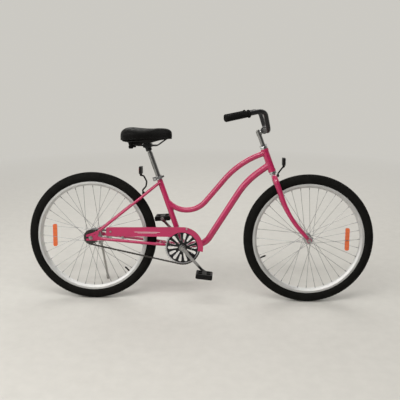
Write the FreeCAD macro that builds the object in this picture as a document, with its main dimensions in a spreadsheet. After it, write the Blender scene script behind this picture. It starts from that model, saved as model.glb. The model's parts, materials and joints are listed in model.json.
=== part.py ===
import FreeCAD, Part
import math
import os
import re
from types import SimpleNamespace

import Sketcher
from FreeCAD import Placement, Rotation, Vector

# A beach cruiser bicycle, front towards +X, left side towards +Y. Every piece is designed on an upright
# bicycle that stands on the ground, and the finished bicycle then leans to its left, on its stand.
doc = FreeCAD.newDocument("BeachCruiser")

# Driving dimensions, in millimetres and degrees, and counts. A size in quotes follows the sizes it names.
SIZES = {
    # The whole bicycle
    "wheelbase": 1118.0,
    "tyre_radius": 333.5,
    "lean_angle": 7.5,
    "crank_drop": 45.5,
    "crank_height": "=tyre_radius - crank_drop",
    "head_angle": 69.5,
    "seat_angle": 70.5,
    # Clearances and cuts
    "weld_gap": 0.05,
    "running_gap": 0.05,
    "moving_gap": 0.4,
    "seat_gap": 0.3,
    "cut_overrun": 60.0,
    # Tyre and inner tube, outside the rim
    "tyre_half_width": 26.5,
    "tyre_wall": 4.0,
    "rim_depth": 47.5,
    "rim_radius": "=tyre_radius - rim_depth",
    "bead_depth": 6.0,
    "bead_radius": "=rim_radius - bead_depth",
    "bead_half_width": 15.0,
    "bead_thickness": 4.0,
    "shoulder_lift": 3.0,
    "inner_tube_gap": 0.6,
    "inner_tube_wall": 1.2,
    "valve_radius": 4.0,
    "valve_length": 48.0,
    "front_valve_angle": 203.5,
    "rear_valve_angle": 315.0,
    # Rim and spokes
    "rim_half_width": 17.8,
    "rim_side_depth": 10.0,
    "rim_side_radius": "=rim_radius - rim_side_depth",
    "rim_inner_depth": 20.5,
    "rim_inner_radius": "=rim_radius - rim_inner_depth",
    "rim_floor_half_width": 9.0,
    "rim_floor_wall": 2.2,
    "spoke_count": 36,
    "spoke_crossings": 3,
    "spoke_radius": 1.0,
    "spoke_elbow": 2.4,
    "spoke_rim_offset": 4.0,
    "nipple_radius": 2.0,
    "nipple_length": 12.0,
    # Front hub and axle
    "front_axle_radius": 4.7,
    "front_axle_half_length": 70.0,
    "front_drop_half_width": 50.0,
    "front_hub_half_length": 40.0,
    "front_barrel_radius": 13.5,
    "front_flange_radius": 22.0,
    "front_flange_offset": 34.7,
    "front_hole_circle": 19.0,
    "front_cone_radius": 8.0,
    "front_cone_depth": 6.0,
    "flange_thickness": 3.0,
    # Rear hub, axle, driver and coaster brake
    "rear_axle_radius": 4.9,
    "rear_axle_half_length": 82.0,
    "rear_drop_half_width": 55.0,
    "rear_hub_right": 36.0,
    "rear_hub_left": 46.0,
    "rear_barrel_radius": 22.0,
    "rear_flange_radius": 34.0,
    "rear_flange_right": 31.5,
    "rear_flange_left": 35.0,
    "rear_hole_circle": 30.5,
    "brake_drum_radius": 28.0,
    "brake_shoe_radius": 14.6,
    "brake_cone_radius": 16.0,
    "driver_radius": 12.0,
    "driver_depth": 16.0,
    "driver_nose": 50.0,
    "brake_arm_thickness": 2.5,
    "brake_arm_gap": 1.0,
    "brake_arm_half_width": 7.0,
    "brake_arm_reach": 148.0,
    "brake_arm_drop": 35.0,
    "brake_arm_elbow": 40.0,
    "strap_thickness": 1.5,
    "strap_half_width": 6.0,
    "small_bolt_radius": 2.5,
    "small_head_radius": 4.5,
    "small_head_height": 3.5,
    # Axle nuts and washers
    "nut_radius": 8.7,
    "nut_height": 9.5,
    "washer_radius": 10.0,
    "washer_thickness": 1.5,
    # Drive: chain, sprockets and chain line
    "chain_pitch": 12.7,
    "chain_links": 106,
    "ring_teeth": 44,
    "sprocket_teeth": 18,
    "chain_line": 44.0,
    "roller_radius": 3.85,
    "roller_half_width": 1.7,
    "plate_half_height": 4.1,
    "plate_waist": 2.9,
    "plate_thickness": 0.95,
    "tooth_gap": 0.2,
    "tooth_height": 3.4,
    "tooth_tip_half_width": 1.3,
    "ring_half_thickness": 1.4,
    "ring_inner_radius": 76.0,
    # Chain wheel disc
    "disc_radius": 81.0,
    "disc_thickness": 3.0,
    "disc_bore": 14.0,
    "slot_count": 7,
    "slot_outer_radius": 75.0,
    "long_slot_inner_radius": 28.0,
    "short_slot_inner_radius": 42.0,
    "slot_outer_half_width": 7.5,
    "long_slot_inner_half_width": 3.0,
    "short_slot_inner_half_width": 3.6,
    "disc_angle": 182.0,
    # Bottom bracket and cranks
    "shell_radius": 21.0,
    "shell_bore": 17.4,
    "shell_half_length": 34.0,
    "cup_flange_radius": 20.0,
    "cup_flange_thickness": 4.0,
    "cup_depth": 14.0,
    "spindle_radius": 8.5,
    "spindle_half_length": 76.0,
    "spindle_square": 12.7,
    "spindle_square_length": 28.0,
    "crank_length": 170.0,
    "crank_angle": -47.3,
    "crank_inner_face": 64.0,
    "crank_thickness": 13.0,
    "crank_boss_radius": 13.0,
    "crank_hub_radius": 17.0,
    "crank_eye_radius": 10.5,
    "crank_waist_half_width": 6.0,
    "crank_bolt_radius": 4.0,
    "crank_bolt_length": 16.0,
    "crank_bolt_head_radius": 7.4,
    "crank_bolt_head_height": 3.4,
    "crank_cap_radius": 10.5,
    "crank_cap_height": 2.5,
    # Pedals
    "pedal_spindle_radius": 6.0,
    "pedal_spindle_length": 88.0,
    "pedal_inner_gap": 5.0,
    "pedal_length": 84.0,
    "pedal_width": 82.0,
    "pedal_height": 24.0,
    "pedal_barrel_radius": 11.0,
    "pedal_bar": 11.0,
    "pedal_rib": 6.0,
    "pedal_corner": 7.0,
    "right_pedal_tilt": -6.0,
    "left_pedal_tilt": 4.0,
    # Chain guard
    "guard_outer_radius": 107.0,
    "guard_inner_radius": 80.0,
    "guard_rear_reach": 392.0,
    "guard_rear_top": 101.0,
    "guard_rear_bottom": 56.0,
    "guard_end_angle": -11.0,
    "guard_corner": 9.0,
    "guard_outer_face": 60.0,
    "guard_depth": 8.0,
    "guard_wall": 1.5,
    "guard_rod_radius": 3.0,
    "guard_front_screw_forward": 22.0,
    "guard_front_screw_up": 98.5,
    "guard_rear_screw_back": 369.0,
    "guard_rear_screw_up": 79.5,
    "guard_band_width": 12.0,
    "guard_tab_half_width": 8.0,
    # Frame tubes
    "tube_wall": 1.6,
    "head_tube_radius": 18.0,
    "head_tube_bore": 15.0,
    "head_tube_length": 122.0,
    "head_collar_radius": 19.6,
    "head_collar_length": 12.0,
    "top_tube_radius": 14.3,
    "top_tube_drop": 19.5,
    "top_tube_upper_bend": 433.0,
    "top_tube_lower_bend": 128.0,
    "top_tube_on_seat_tube": 245.0,
    "down_tube_radius": 17.0,
    "down_tube_rise": 39.0,
    "down_tube_upper_bend": 400.0,
    "down_tube_lower_bend": 75.0,
    "seat_tube_radius": 14.3,
    "seat_tube_cutback": 281.0,
    "seat_tube_length": "=tyre_radius * 2 - seat_tube_cutback",
    "chain_stay_radius": 8.0,
    "chain_stay_bend": 160.0,
    "chain_stay_start": 16.0,
    "chain_stay_spread": 40.5,
    "chain_stay_tuck": 29.5,
    "chain_stay_spread_reach": "=tyre_radius - chain_stay_tuck",
    "chain_stay_end_reach": 52.0,
    "chain_stay_end_drop": 5.0,
    "seat_stay_radius": 7.0,
    "seat_stay_bend": 120.0,
    "seat_stay_start": 13.0,
    "seat_stay_below_top": 34.0,
    "seat_stay_on_seat_tube": "=seat_tube_length - seat_stay_below_top",
    "seat_stay_spread": 46.0,
    "seat_stay_clearance": 38.5,
    "seat_stay_spread_radius": "=tyre_radius + seat_stay_clearance",
    "seat_stay_end_forward": 40.0,
    "seat_stay_end_up": 33.0,
    "bridge_radius": 6.0,
    "seat_bridge_clearance": 16.5,
    "seat_bridge_radius": "=tyre_radius + seat_bridge_clearance",
    "chain_bridge_clearance": 18.5,
    "chain_bridge_radius": "=tyre_radius + chain_bridge_clearance",
    # Rear dropouts
    "drop_thickness": 5.0,
    "drop_slot_gap": 0.1,
    "drop_rear": 24.0,
    "drop_half_height": 15.0,
    "eyelet_radius": 2.6,
    "rear_eyelet_back": 9.0,
    "rear_eyelet_up": 12.0,
    "front_eyelet_forward": 19.0,
    "front_eyelet_up": 17.5,
    # Headset, steerer and fork
    "steerer_radius": 12.7,
    "steerer_bore": 11.15,
    "lower_stack": 12.0,
    "upper_stack": 22.0,
    "cup_lip": 1.0,
    "cup_insert": 10.0,
    "fork_clearance": 46.1,
    "fork_length": "=tyre_radius + fork_clearance",
    "fork_rake": 58.8,
    "crown_drop": 18.0,
    "blade_radius": 15.0,
    "blade_tip_radius": 9.5,
    "blade_offset": 53.0,
    "blade_crown_bend": 36.0,
    "blade_forward_bend": 640.0,
    "blade_forward_angle": 22.0,
    "blade_end_above_axle": 22.0,
    "fork_end_thickness": 5.0,
    "fork_end_radius": 13.0,
    # Stem, handlebar and grips
    "quill_radius": 11.1,
    "stem_rise": 67.5,
    "stem_reach": 29.0,
    "quill_depth": 95.0,
    "stem_clamp_radius": 17.5,
    "stem_clamp_half_width": 21.0,
    "stem_neck_radius": 11.0,
    "stem_head_radius": 13.0,
    "stem_bolt_radius": 4.0,
    "stem_bolt_head_radius": 7.0,
    "stem_bolt_head_height": 5.0,
    "wedge_length": 26.0,
    "bar_radius": 11.1,
    "bar_bottom_forward": 15.0,
    "bar_bottom_half_width": 130.0,
    "bar_rise": 100.0,
    "bar_top_back": 12.0,
    "bar_top_half_width": 220.0,
    "bar_end_back": 194.0,
    "bar_end_drop": 39.0,
    "bar_end_half_width": 323.0,
    "bar_lower_bend": 62.0,
    "bar_upper_bend": 52.0,
    "bar_flat_bend": 150.0,
    "grip_radius": 15.5,
    "grip_length": 124.0,
    "grip_flange_radius": 19.0,
    "grip_flange_length": 4.0,
    "grip_end_wall": 4.0,
    "grip_ridge": 1.3,
    "grip_ridge_count": 14,
    # Seat post, clamp and saddle
    "post_radius": 12.7,
    "post_bore": 10.6,
    "post_depth": 110.0,
    "post_exposed": 158.0,
    "post_neck_radius": 11.1,
    "post_neck_length": 32.0,
    "collar_radius": 18.6,
    "collar_height": 20.0,
    "collar_ear_reach": 31.0,
    "collar_ear_half_width": 8.0,
    "collar_slot": 2.5,
    "skewer_radius": 2.5,
    "skewer_nut_radius": 6.5,
    "skewer_nut_length": 7.0,
    "lever_eye_radius": 6.5,
    "lever_height": 10.0,
    "lever_thickness": 5.0,
    "lever_length": 52.0,
    "lever_pin_radius": 3.0,
    "saddle_length": 254.0,
    "saddle_setback": 132.0,
    "saddle_half_width": 104.0,
    "saddle_height": 66.0,
    "saddle_lift": 32.0,
    "base_thickness": 5.0,
    "base_inset": 4.0,
    "base_drop": 11.0,
    "rail_radius": 3.5,
    "rail_half_spacing": 22.0,
    "rail_rear_half_spacing": 28.0,
    "rail_bend": 26.0,
    "rail_height": 6.0,
    "rail_straight": 100.0,
    "rail_nose_reach": 95.0,
    "rail_nose_half_spacing": 10.0,
    "rail_rear_reach": 108.0,
    "bumper_radius": 13.0,
    "bumper_waist": 10.0,
    "bumper_height": 34.0,
    "bumper_setback": 79.0,
    "bumper_half_spacing": 50.0,
    "saddle_clamp_length": 42.0,
    "saddle_clamp_half_width": 29.0,
    "saddle_clamp_height": 22.0,
    "clamp_corner": 5.0,
    "saddle_clamp_bolt_radius": 4.0,
    # Reflectors
    "reflector_width": 52.0,
    "reflector_height": 38.0,
    "reflector_depth": 14.0,
    "reflector_corner": 6.0,
    "bracket_radius": 4.0,
    "bracket_bend": 9.0,
    "wheel_reflector_length": 118.0,
    "wheel_reflector_width": 22.0,
    "wheel_reflector_thickness": 8.0,
    "wheel_reflector_inset": 65.5,
    "wheel_reflector_radius": "=rim_inner_radius - wheel_reflector_inset",
    "wheel_reflector_corner": 8.0,
    "front_reflector_angle": 0.0,
    "rear_reflector_angle": 180.0,
    # Stand
    "stand_pivot_forward": 26.0,
    "stand_pivot_down": 46.0,
    "stand_pivot_offset": 74.0,
    "stand_pivot_tilt": 30.0,
    "stand_splay": 35.0,
    "stand_radius": 6.5,
    "stand_foot_radius": 8.5,
    "stand_foot_length": 26.0,
    "stand_eye_radius": 12.0,
    "stand_eye_length": 14.0,
    "stand_pin_radius": 4.0,
    "stand_boss_length": 9.0,
    "stand_plate_thickness": 5.0,
    "stand_clamp_forward": 74.0,
    "stand_clamp_width": 22.0,
}

# Shares of the sizes that an outline follows
top_tube_upper_bend_shares = (0.677, 0.890)
top_tube_lower_bend_shares = (0.082, 0.277)
down_tube_upper_bend_shares = (0.732, 0.796)
down_tube_lower_bend_shares = (0.265, 0.027)
# How many steps a spoke is measured in
spoke_samples = 240
# How much of a run a bend may take, at an end of a path and between two bends
end_run_share = 0.95
middle_run_share = 0.48
# Where the valley and the crest of one grip ridge start and end, along its pitch
grip_valley_shares = (0.85, 0.55)
grip_crest_shares = (0.35, 0.05)
# Where the saddle's sides turn into its top, and how far its lower edge tucks in
saddle_side_share = 0.5
saddle_tuck_share = 0.93
# The reflectors' middles and their brackets' bends from the bracket's foot, in reflector heights
rear_reflector_shares = (0.32, 3.10)
rear_bracket_shares = ((-0.12, 0.36), (0.36, 0.90), (0.46, 1.55), (0.05, 2.35))
front_reflector_shares = (0.75, 1.90)
front_bracket_shares = ((0.05, 0.34), (0.62, 1.12))
# Along the saddle from its rear, then half width, top and bottom
saddle_section_shares = (
    (0.000, 0.50, 0.70, 0.22),
    (0.045, 0.72, 0.88, 0.05),
    (0.120, 0.92, 0.97, 0.00),
    (0.220, 1.00, 1.00, 0.00),
    (0.360, 0.96, 0.93, 0.03),
    (0.500, 0.68, 0.89, 0.07),
    (0.620, 0.43, 0.90, 0.10),
    (0.740, 0.30, 0.94, 0.13),
    (0.880, 0.25, 0.85, 0.16),
    (0.970, 0.18, 0.66, 0.22),
    (1.000, 0.09, 0.52, 0.32),
)

# How much of its drop the saddle's base takes at each of those sections, its ends left out
base_drop_shares = (0.0, 0.0, 0.0, 0.0, 1.0, 1.0, 0.4, 0.0, 0.0)

sheet = doc.addObject("Spreadsheet::Sheet", "Sizes")
for row, (name, amount) in enumerate(SIZES.items(), 1):
    sheet.set("A%d" % row, name)
    sheet.set("B%d" % row, str(amount))
    sheet.setAlias("B%d" % row, name)
doc.recompute()
size = SimpleNamespace(**{name: sheet.get(name) for name in SIZES})

LATERAL = Vector(0, 1, 0)
UP = Vector(0, 0, 1)
FORWARD = Vector(1, 0, 0)
sub_parts = []


# Sketches and features tied to the sheet
def bound(words):
    """A size formula, with its names tied to the sheet's cells."""
    return re.sub(r"[a-z_]+", lambda found: cell(found.group(0)), words)


def cell(word):
    return "Sizes." + word if word in SIZES else word


def number(words):
    """The value of a size formula, or of a number that is worked out already."""
    return float(sheet.evalExpression(bound(words))) if isinstance(words, str) else words


def add_sub_part(item, label, place=None):
    """Names a finished sub-part, seats it on the upright bicycle and keeps it for writing."""
    item.Label = label
    if place is not None:
        item.Placement = place
    sub_parts.append(item)
    return item


def origin_plane(body, role):
    return next(feature for feature in body.Origin.OriginFeatures if feature.Role == role)


def arc_between(start, finish, bend):
    """The arc from start to finish, bending left for a positive radius and right for a negative one."""
    chord = finish - start
    radius = max(abs(bend), chord.Length / 2)
    side = math.copysign(1, bend)
    left = Vector(-chord.y, chord.x, 0).normalize()
    centre = (start + finish) / 2 + left * side * math.sqrt(radius**2 - chord.Length**2 / 4)
    turn = [math.atan2(point.y - centre.y, point.x - centre.x) for point in (start, finish)]
    if side < 0:
        turn.reverse()
    return Part.ArcOfCircle(Part.Circle(centre, UP, radius), turn[0], turn[1])


def draw(body, role, outline, label):
    """A closed, constrained outline. Each corner is (across, up) or (across, up, radius), and a radius
    bends the edge that leaves the corner, to the left where it is positive."""
    sketch = body.newObject("Sketcher::SketchObject", label)
    sketch.AttachmentSupport = [(origin_plane(body, role), "")]
    sketch.MapMode = "FlatFace"
    corners = [Vector(number(corner[0]), number(corner[1]), 0) for corner in outline]
    bends = [number(corner[2]) if len(corner) > 2 else 0 for corner in outline]
    ends = []
    for index, corner in enumerate(corners):
        following = corners[(index + 1) % len(corners)]
        if bends[index]:
            sketch.addGeometry(arc_between(corner, following, bends[index]), False)
        else:
            sketch.addGeometry(Part.LineSegment(corner, following), False)
        ends.append((1, 2) if bends[index] >= 0 else (2, 1))
    for index in range(len(corners)):
        following = (index + 1) % len(corners)
        meet = (index, ends[index][1], following, ends[following][0])
        sketch.addConstraint(Sketcher.Constraint("Coincident", *meet))
    for index, corner in enumerate(outline):
        point = (index, ends[index][0])
        fix_point(sketch, point, corner, corners[index])
        if bends[index]:
            radius = sketch.addConstraint(Sketcher.Constraint("Radius", index, abs(bends[index])))
            if isinstance(corner[2], str):
                sketch.setExpression("Constraints[%d]" % radius, bound("abs(%s)" % corner[2]))
    return sketch


def fix_point(sketch, point, words, spot):
    """Holds one point of a sketch at the distances from the sketch's axes that the words give."""
    measures = (("DistanceX", words[0], spot.x, -2), ("DistanceY", words[1], spot.y, -1))
    for kind, word, distance, axis in measures:
        if word == "0":
            sketch.addConstraint(Sketcher.Constraint("PointOnObject", point[0], point[1], axis))
        else:
            held = sketch.addConstraint(Sketcher.Constraint(kind, -1, 1, point[0], point[1], distance))
            if isinstance(word, str):
                sketch.setExpression("Constraints[%d]" % held, bound(word))


def draw_circles(body, role, circles, label):
    """Constrained circles, each (across, up, radius)."""
    sketch = body.newObject("Sketcher::SketchObject", label)
    sketch.AttachmentSupport = [(origin_plane(body, role), "")]
    sketch.MapMode = "FlatFace"
    for index, (across, up, radius) in enumerate(circles):
        centre = Vector(number(across), number(up), 0)
        sketch.addGeometry(Part.Circle(centre, UP, number(radius)), False)
        fix_point(sketch, (index, 3), (across, up), centre)
        held = sketch.addConstraint(Sketcher.Constraint("Radius", index, number(radius)))
        sketch.setExpression("Constraints[%d]" % held, bound(radius))
    return sketch


def new_body(label):
    body = doc.addObject("PartDesign::Body", label + "_body")
    body.Label = label
    return body


def pad(body, sketch, length, label):
    feature = body.newObject("PartDesign::Pad", label)
    feature.Profile = sketch
    feature.setExpression("Length", bound(length))
    return feature


def pocket(body, sketch, label):
    """A cut right through the body, both ways from the sketch."""
    feature = body.newObject("PartDesign::Pocket", label)
    feature.Profile = sketch
    feature.Type = "ThroughAll"
    feature.Midplane = True
    return feature


def turned(label, outline, place):
    """A body of revolution about its own Z axis. Its outline is in (radius, distance along)."""
    body = new_body(label)
    sketch = draw(body, "XZ_Plane", outline, label + "_profile")
    feature = body.newObject("PartDesign::Revolution", label + "_turn")
    feature.Profile = sketch
    feature.ReferenceAxis = (sketch, ["V_Axis"])
    feature.Angle = 360
    body.Placement = place
    return body


def plate(label, outline, thickness, place, holes=()):
    """A flat body that rises along its own Z axis, with round holes."""
    body = new_body(label)
    pad(body, draw(body, "XY_Plane", outline, label + "_outline"), thickness, label + "_pad")
    if holes:
        pocket(body, draw_circles(body, "XY_Plane", holes, label + "_holes"), label + "_bores")
    body.Placement = place
    return body


def group(label, items, place=None):
    """Several solids that make one sub-part."""
    compound = doc.addObject("Part::Compound", label + "_group")
    compound.Links = items
    return add_sub_part(compound, label, place)


def mirrored(item):
    """A piece's twin on the other side of the bicycle."""
    twin = doc.addObject("Part::Mirroring", item.Name + "_twin")
    twin.Source = item
    twin.Base = Vector(0, 0, 0)
    twin.Normal = LATERAL
    return twin


def shaped(label, shape):
    """A piece whose form has no feature of its own, from its finished shape."""
    item = doc.addObject("Part::Feature", label + "_shape")
    item.Shape = shape
    return item


def seated(origin, along, across=FORWARD):
    """The place of a piece whose Z axis runs along one direction and whose X axis leans to another."""
    along = Vector(along).normalize()
    side = along.cross(across).normalize()
    return Placement(origin, Rotation(side.cross(along), side, along, "ZXY"))


def on_right(spot, offset=0.0):
    """The place of a piece drawn in side view, with X forward, Y up and Z to the bicycle's right."""
    return Placement(Vector(spot.x, -offset, spot.z), Rotation(FORWARD, 90))


# Round bars, tubes and prisms
def rounded_path(points, radii):
    """Straight runs joined by tangent arcs, each radius limited by the room on its two runs."""
    edges = []
    start = points[0]
    last = len(points) - 2
    for index, radius in enumerate(radii, 1):
        corner = points[index]
        to_back = points[index - 1] - corner
        to_ahead = points[index + 1] - corner
        back_room = to_back.Length * (end_run_share if index == 1 else middle_run_share)
        ahead_room = to_ahead.Length * (end_run_share if index == last else middle_run_share)
        half_turn = (math.pi - to_back.getAngle(to_ahead)) / 2
        radius = min(radius, min(back_room, ahead_room) / math.tan(half_turn))
        leave = radius * math.tan(half_turn)
        back = to_back.normalize()
        ahead = to_ahead.normalize()
        inward = (back + ahead).normalize() * radius * (1 / math.cos(half_turn) - 1)
        edges.append(Part.LineSegment(start, corner + back * leave).toShape())
        arc = Part.Arc(corner + back * leave, corner + inward, corner + ahead * leave)
        edges.append(arc.toShape())
        start = corner + ahead * leave
    edges.append(Part.LineSegment(start, points[-1]).toShape())
    return Part.Wire(edges)


def rod(points, radii, radius, end_radius=None):
    """A round bar along a rounded path, with an even taper where it has two radii."""
    path = rounded_path(points, radii)
    first = Part.Wire(Part.Circle(points[0], points[1] - points[0], radius).toShape())
    rings = [first]
    if end_radius is not None:
        rings.append(Part.Wire(Part.Circle(points[-1], points[-1] - points[-2], end_radius).toShape()))
    return path.makePipeShell(rings, True, False)


def tube(points, radii, radius, end_radius=None):
    """A round tube along a rounded path."""
    thin = None if end_radius is None else end_radius - size.tube_wall
    return rod(points, radii, radius, end_radius).cut(rod(points, radii, radius - size.tube_wall, thin))


def bar(start, finish, radius):
    """A straight round bar."""
    return Part.makeCylinder(radius, (finish - start).Length, start, finish - start)


def pipe(start, finish, radius, bore):
    """A straight tube."""
    return bar(start, finish, radius).cut(bar(start, finish, bore))


def prism(sides, start, finish, radius, across=UP):
    """A straight bar with flat sides."""
    place = seated(start, finish - start, across)
    corners = [place.multVec(on_circle(radius, 360 * index / sides)) for index in range(sides + 1)]
    return Part.Face(Part.makePolygon(corners)).extrude(finish - start)


def on_circle(radius, degrees, height=0.0):
    turn = math.radians(degrees)
    return Vector(radius * math.cos(turn), radius * math.sin(turn), height)


def lengthened(start, finish, extra):
    """The two ends of a bar that runs past both of the given points."""
    step = (finish - start).normalize() * extra
    return start - step, finish + step


# The main points of the upright bicycle
rear_axle = Vector(-size.wheelbase / 2, 0, size.tyre_radius)
front_axle = Vector(size.wheelbase / 2, 0, size.tyre_radius)
ring_pitch_radius = size.chain_pitch / (2 * math.sin(math.pi / size.ring_teeth))
sprocket_pitch_radius = size.chain_pitch / (2 * math.sin(math.pi / size.sprocket_teeth))


def links_round(centres):
    """How many chain pitches go round the two sprockets at a given distance between their centres."""
    run = math.sqrt(centres**2 - (ring_pitch_radius - sprocket_pitch_radius) ** 2)
    spread = math.acos((ring_pitch_radius - sprocket_pitch_radius) / centres)
    wraps = size.ring_teeth * (1 - spread / math.pi) + size.sprocket_teeth * spread / math.pi
    return 2 * run / size.chain_pitch + wraps


def chain_centres():
    """The distance between the sprockets at which the chain's links close up exactly."""
    low = ring_pitch_radius + sprocket_pitch_radius
    high = size.chain_links * size.chain_pitch
    for _ in range(80):
        middle = (low + high) / 2
        low, high = (middle, high) if links_round(middle) < size.chain_links else (low, middle)
    return middle


centre_distance = chain_centres()
crank_run = math.sqrt(centre_distance**2 - size.crank_drop**2)
crank_centre = Vector(rear_axle.x + crank_run, 0, size.crank_height)

head = math.radians(size.head_angle)
steer_up = Vector(-math.cos(head), 0, math.sin(head))
steer_forward = Vector(math.sin(head), 0, math.cos(head))
crown = front_axle - steer_forward * size.fork_rake + steer_up * size.fork_length

seat = math.radians(size.seat_angle)
seat_up = Vector(-math.cos(seat), 0, math.sin(seat))
seat_forward = Vector(math.sin(seat), 0, math.cos(seat))


def on_steerer(along, ahead=0.0, left=0.0):
    """A point by its distance up the steering axis from the fork crown, ahead of the axis and to the left."""
    return crown + steer_up * along + steer_forward * ahead + LATERAL * left


def on_seat_tube(along, ahead=0.0, left=0.0):
    """A point by its distance up the seat tube from the crank centre, ahead of the axis and to the left."""
    return crank_centre + seat_up * along + seat_forward * ahead + LATERAL * left


def between(start, finish, shares):
    """The point at the given shares of the way across and up from start to finish."""
    return Vector(
        start.x + (finish.x - start.x) * shares[0], 0, start.z + (finish.z - start.z) * shares[1]
    )


head_bottom = size.lower_stack
head_top = head_bottom + size.head_tube_length
headset_top = head_top + size.upper_stack


# Frame tubes
def head_cut():
    """The space that the head tube and its two end collars fill, with the weld's gap."""
    ends = lengthened(on_steerer(head_bottom), on_steerer(head_top), size.cut_overrun)
    tool = bar(*ends, gapped(size.head_tube_radius))
    collar = size.head_collar_length + size.weld_gap
    for end, inward in ((head_bottom, collar), (head_top, -collar)):
        tool = tool.fuse(bar(on_steerer(end), on_steerer(end + inward), gapped(size.head_collar_radius)))
    return tool


def gapped(radius):
    return radius + size.weld_gap


def seat_tube_cut():
    ends = lengthened(crank_centre, on_seat_tube(size.seat_tube_length), size.cut_overrun)
    return bar(*ends, gapped(size.seat_tube_radius))


def shell_cut():
    side = LATERAL * (size.shell_half_length + size.cut_overrun)
    return bar(crank_centre - side, crank_centre + side, gapped(size.shell_radius))


def make_head_tube():
    outline = [
        ("head_tube_bore", "0"),
        ("head_collar_radius", "0"),
        ("head_collar_radius", "head_collar_length"),
        ("head_tube_radius", "head_collar_length"),
        ("head_tube_radius", "head_tube_length - head_collar_length"),
        ("head_collar_radius", "head_tube_length - head_collar_length"),
        ("head_collar_radius", "head_tube_length"),
        ("head_tube_bore", "head_tube_length"),
    ]
    add_sub_part(turned("head_tube", outline, seated(on_steerer(head_bottom), steer_up)), "head_tube")


def make_top_tube():
    start = on_steerer(head_top - size.top_tube_drop)
    points = [
        start,
        between(crank_centre, start, top_tube_upper_bend_shares),
        between(crank_centre, start, top_tube_lower_bend_shares),
        on_seat_tube(size.top_tube_on_seat_tube),
    ]
    form = tube(points, (size.top_tube_upper_bend, size.top_tube_lower_bend), size.top_tube_radius)
    add_sub_part(shaped("top_tube", form.cut(head_cut()).cut(seat_tube_cut())), "top_tube")


def make_down_tube():
    start = on_steerer(head_bottom + size.down_tube_rise)
    points = [
        start,
        between(crank_centre, start, down_tube_upper_bend_shares),
        between(crank_centre, start, down_tube_lower_bend_shares),
        crank_centre,
    ]
    form = tube(points, (size.down_tube_upper_bend, size.down_tube_lower_bend), size.down_tube_radius)
    form = form.cut(head_cut()).cut(shell_cut()).cut(seat_tube_cut())
    add_sub_part(shaped("down_tube", form), "down_tube")


def make_seat_tube():
    top = on_seat_tube(size.seat_tube_length)
    form = pipe(crank_centre, top, size.seat_tube_radius, size.post_radius + size.running_gap)
    add_sub_part(shaped("seat_tube", form.cut(shell_cut())), "seat_tube")


def make_bottom_bracket_shell():
    outline = [
        ("shell_bore", "-shell_half_length"),
        ("shell_radius", "-shell_half_length"),
        ("shell_radius", "shell_half_length"),
        ("shell_bore", "shell_half_length"),
    ]
    add_sub_part(turned("bottom_bracket_shell", outline, on_right(crank_centre)), "bottom_bracket_shell")


stay_end_offset = size.rear_drop_half_width + size.drop_thickness / 2
chain_stay_end = rear_axle + Vector(size.chain_stay_end_reach, stay_end_offset, -size.chain_stay_end_drop)
chain_stay_start = crank_centre + LATERAL * size.chain_stay_start
seat_stay_end = rear_axle + Vector(size.seat_stay_end_forward, stay_end_offset, size.seat_stay_end_up)
seat_stay_start = on_seat_tube(size.seat_stay_on_seat_tube, 0, size.seat_stay_start)


def point_between(start, finish, share):
    return start + (finish - start) * share


def at_wheel_radius(start, finish, radius, offset):
    """Where a stay's side view crosses a circle round the rear axle, at a distance from the mid-plane."""
    low, high = 0.0, 1.0
    for _ in range(60):
        middle = (low + high) / 2
        spot = point_between(start, finish, middle)
        far = math.hypot(spot.x - rear_axle.x, spot.z - rear_axle.z)
        low, high = (middle, high) if far > radius else (low, middle)
    return Vector(spot.x, offset, spot.z)


chain_stay_bend = at_wheel_radius(
    chain_stay_start, chain_stay_end, size.chain_stay_spread_reach, size.chain_stay_spread
)
seat_stay_bend = at_wheel_radius(
    seat_stay_start, seat_stay_end, size.seat_stay_spread_radius, size.seat_stay_spread
)


def crossing(start, finish, radius):
    """The point of a straight stay that lies at a distance from the rear axle in side view."""
    spot = at_wheel_radius(start, finish, radius, 0)
    share = (spot.x - start.x) / (finish.x - start.x)
    return point_between(start, finish, share)


def mirror_shape(shape):
    return shape.mirror(Vector(0, 0, 0), LATERAL)


def make_stays(label, points, bend, radius, cut, bridge):
    """A left and a right stay, with the bridge tube that joins them."""
    left = tube(points, (bend,), radius).cut(cut)
    half = Vector(0, bridge.y, 0)
    brace = pipe(bridge - half * 2, bridge, size.bridge_radius, size.bridge_radius - size.tube_wall)
    solid = rod(points, (bend,), gapped(radius))
    brace = brace.cut(solid).cut(mirror_shape(solid))
    add_sub_part(shaped(label, Part.makeCompound([left, mirror_shape(left), brace])), label)


def make_chain_stays():
    points = [chain_stay_start, chain_stay_bend, chain_stay_end]
    bridge = crossing(chain_stay_start, chain_stay_bend, size.chain_bridge_radius)
    make_stays("chain_stays", points, size.chain_stay_bend, size.chain_stay_radius, shell_cut(), bridge)


def make_seat_stays():
    points = [seat_stay_start, seat_stay_bend, seat_stay_end]
    bridge = crossing(seat_stay_bend, seat_stay_end, size.seat_bridge_radius)
    make_stays("seat_stays", points, size.seat_stay_bend, size.seat_stay_radius, seat_tube_cut(), bridge)


def stay_end_corners(bend, end, radius):
    """Where a dropout meets the lower and upper edge of a stay's end, in side view from the rear axle."""
    run = (bend - end).normalize()
    tip = end - rear_axle - run * size.seat_gap
    side = Vector(-run.z, 0, run.x) * radius
    return [((tip - side).x, (tip - side).z), ((tip + side).x, (tip + side).z)]


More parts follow.
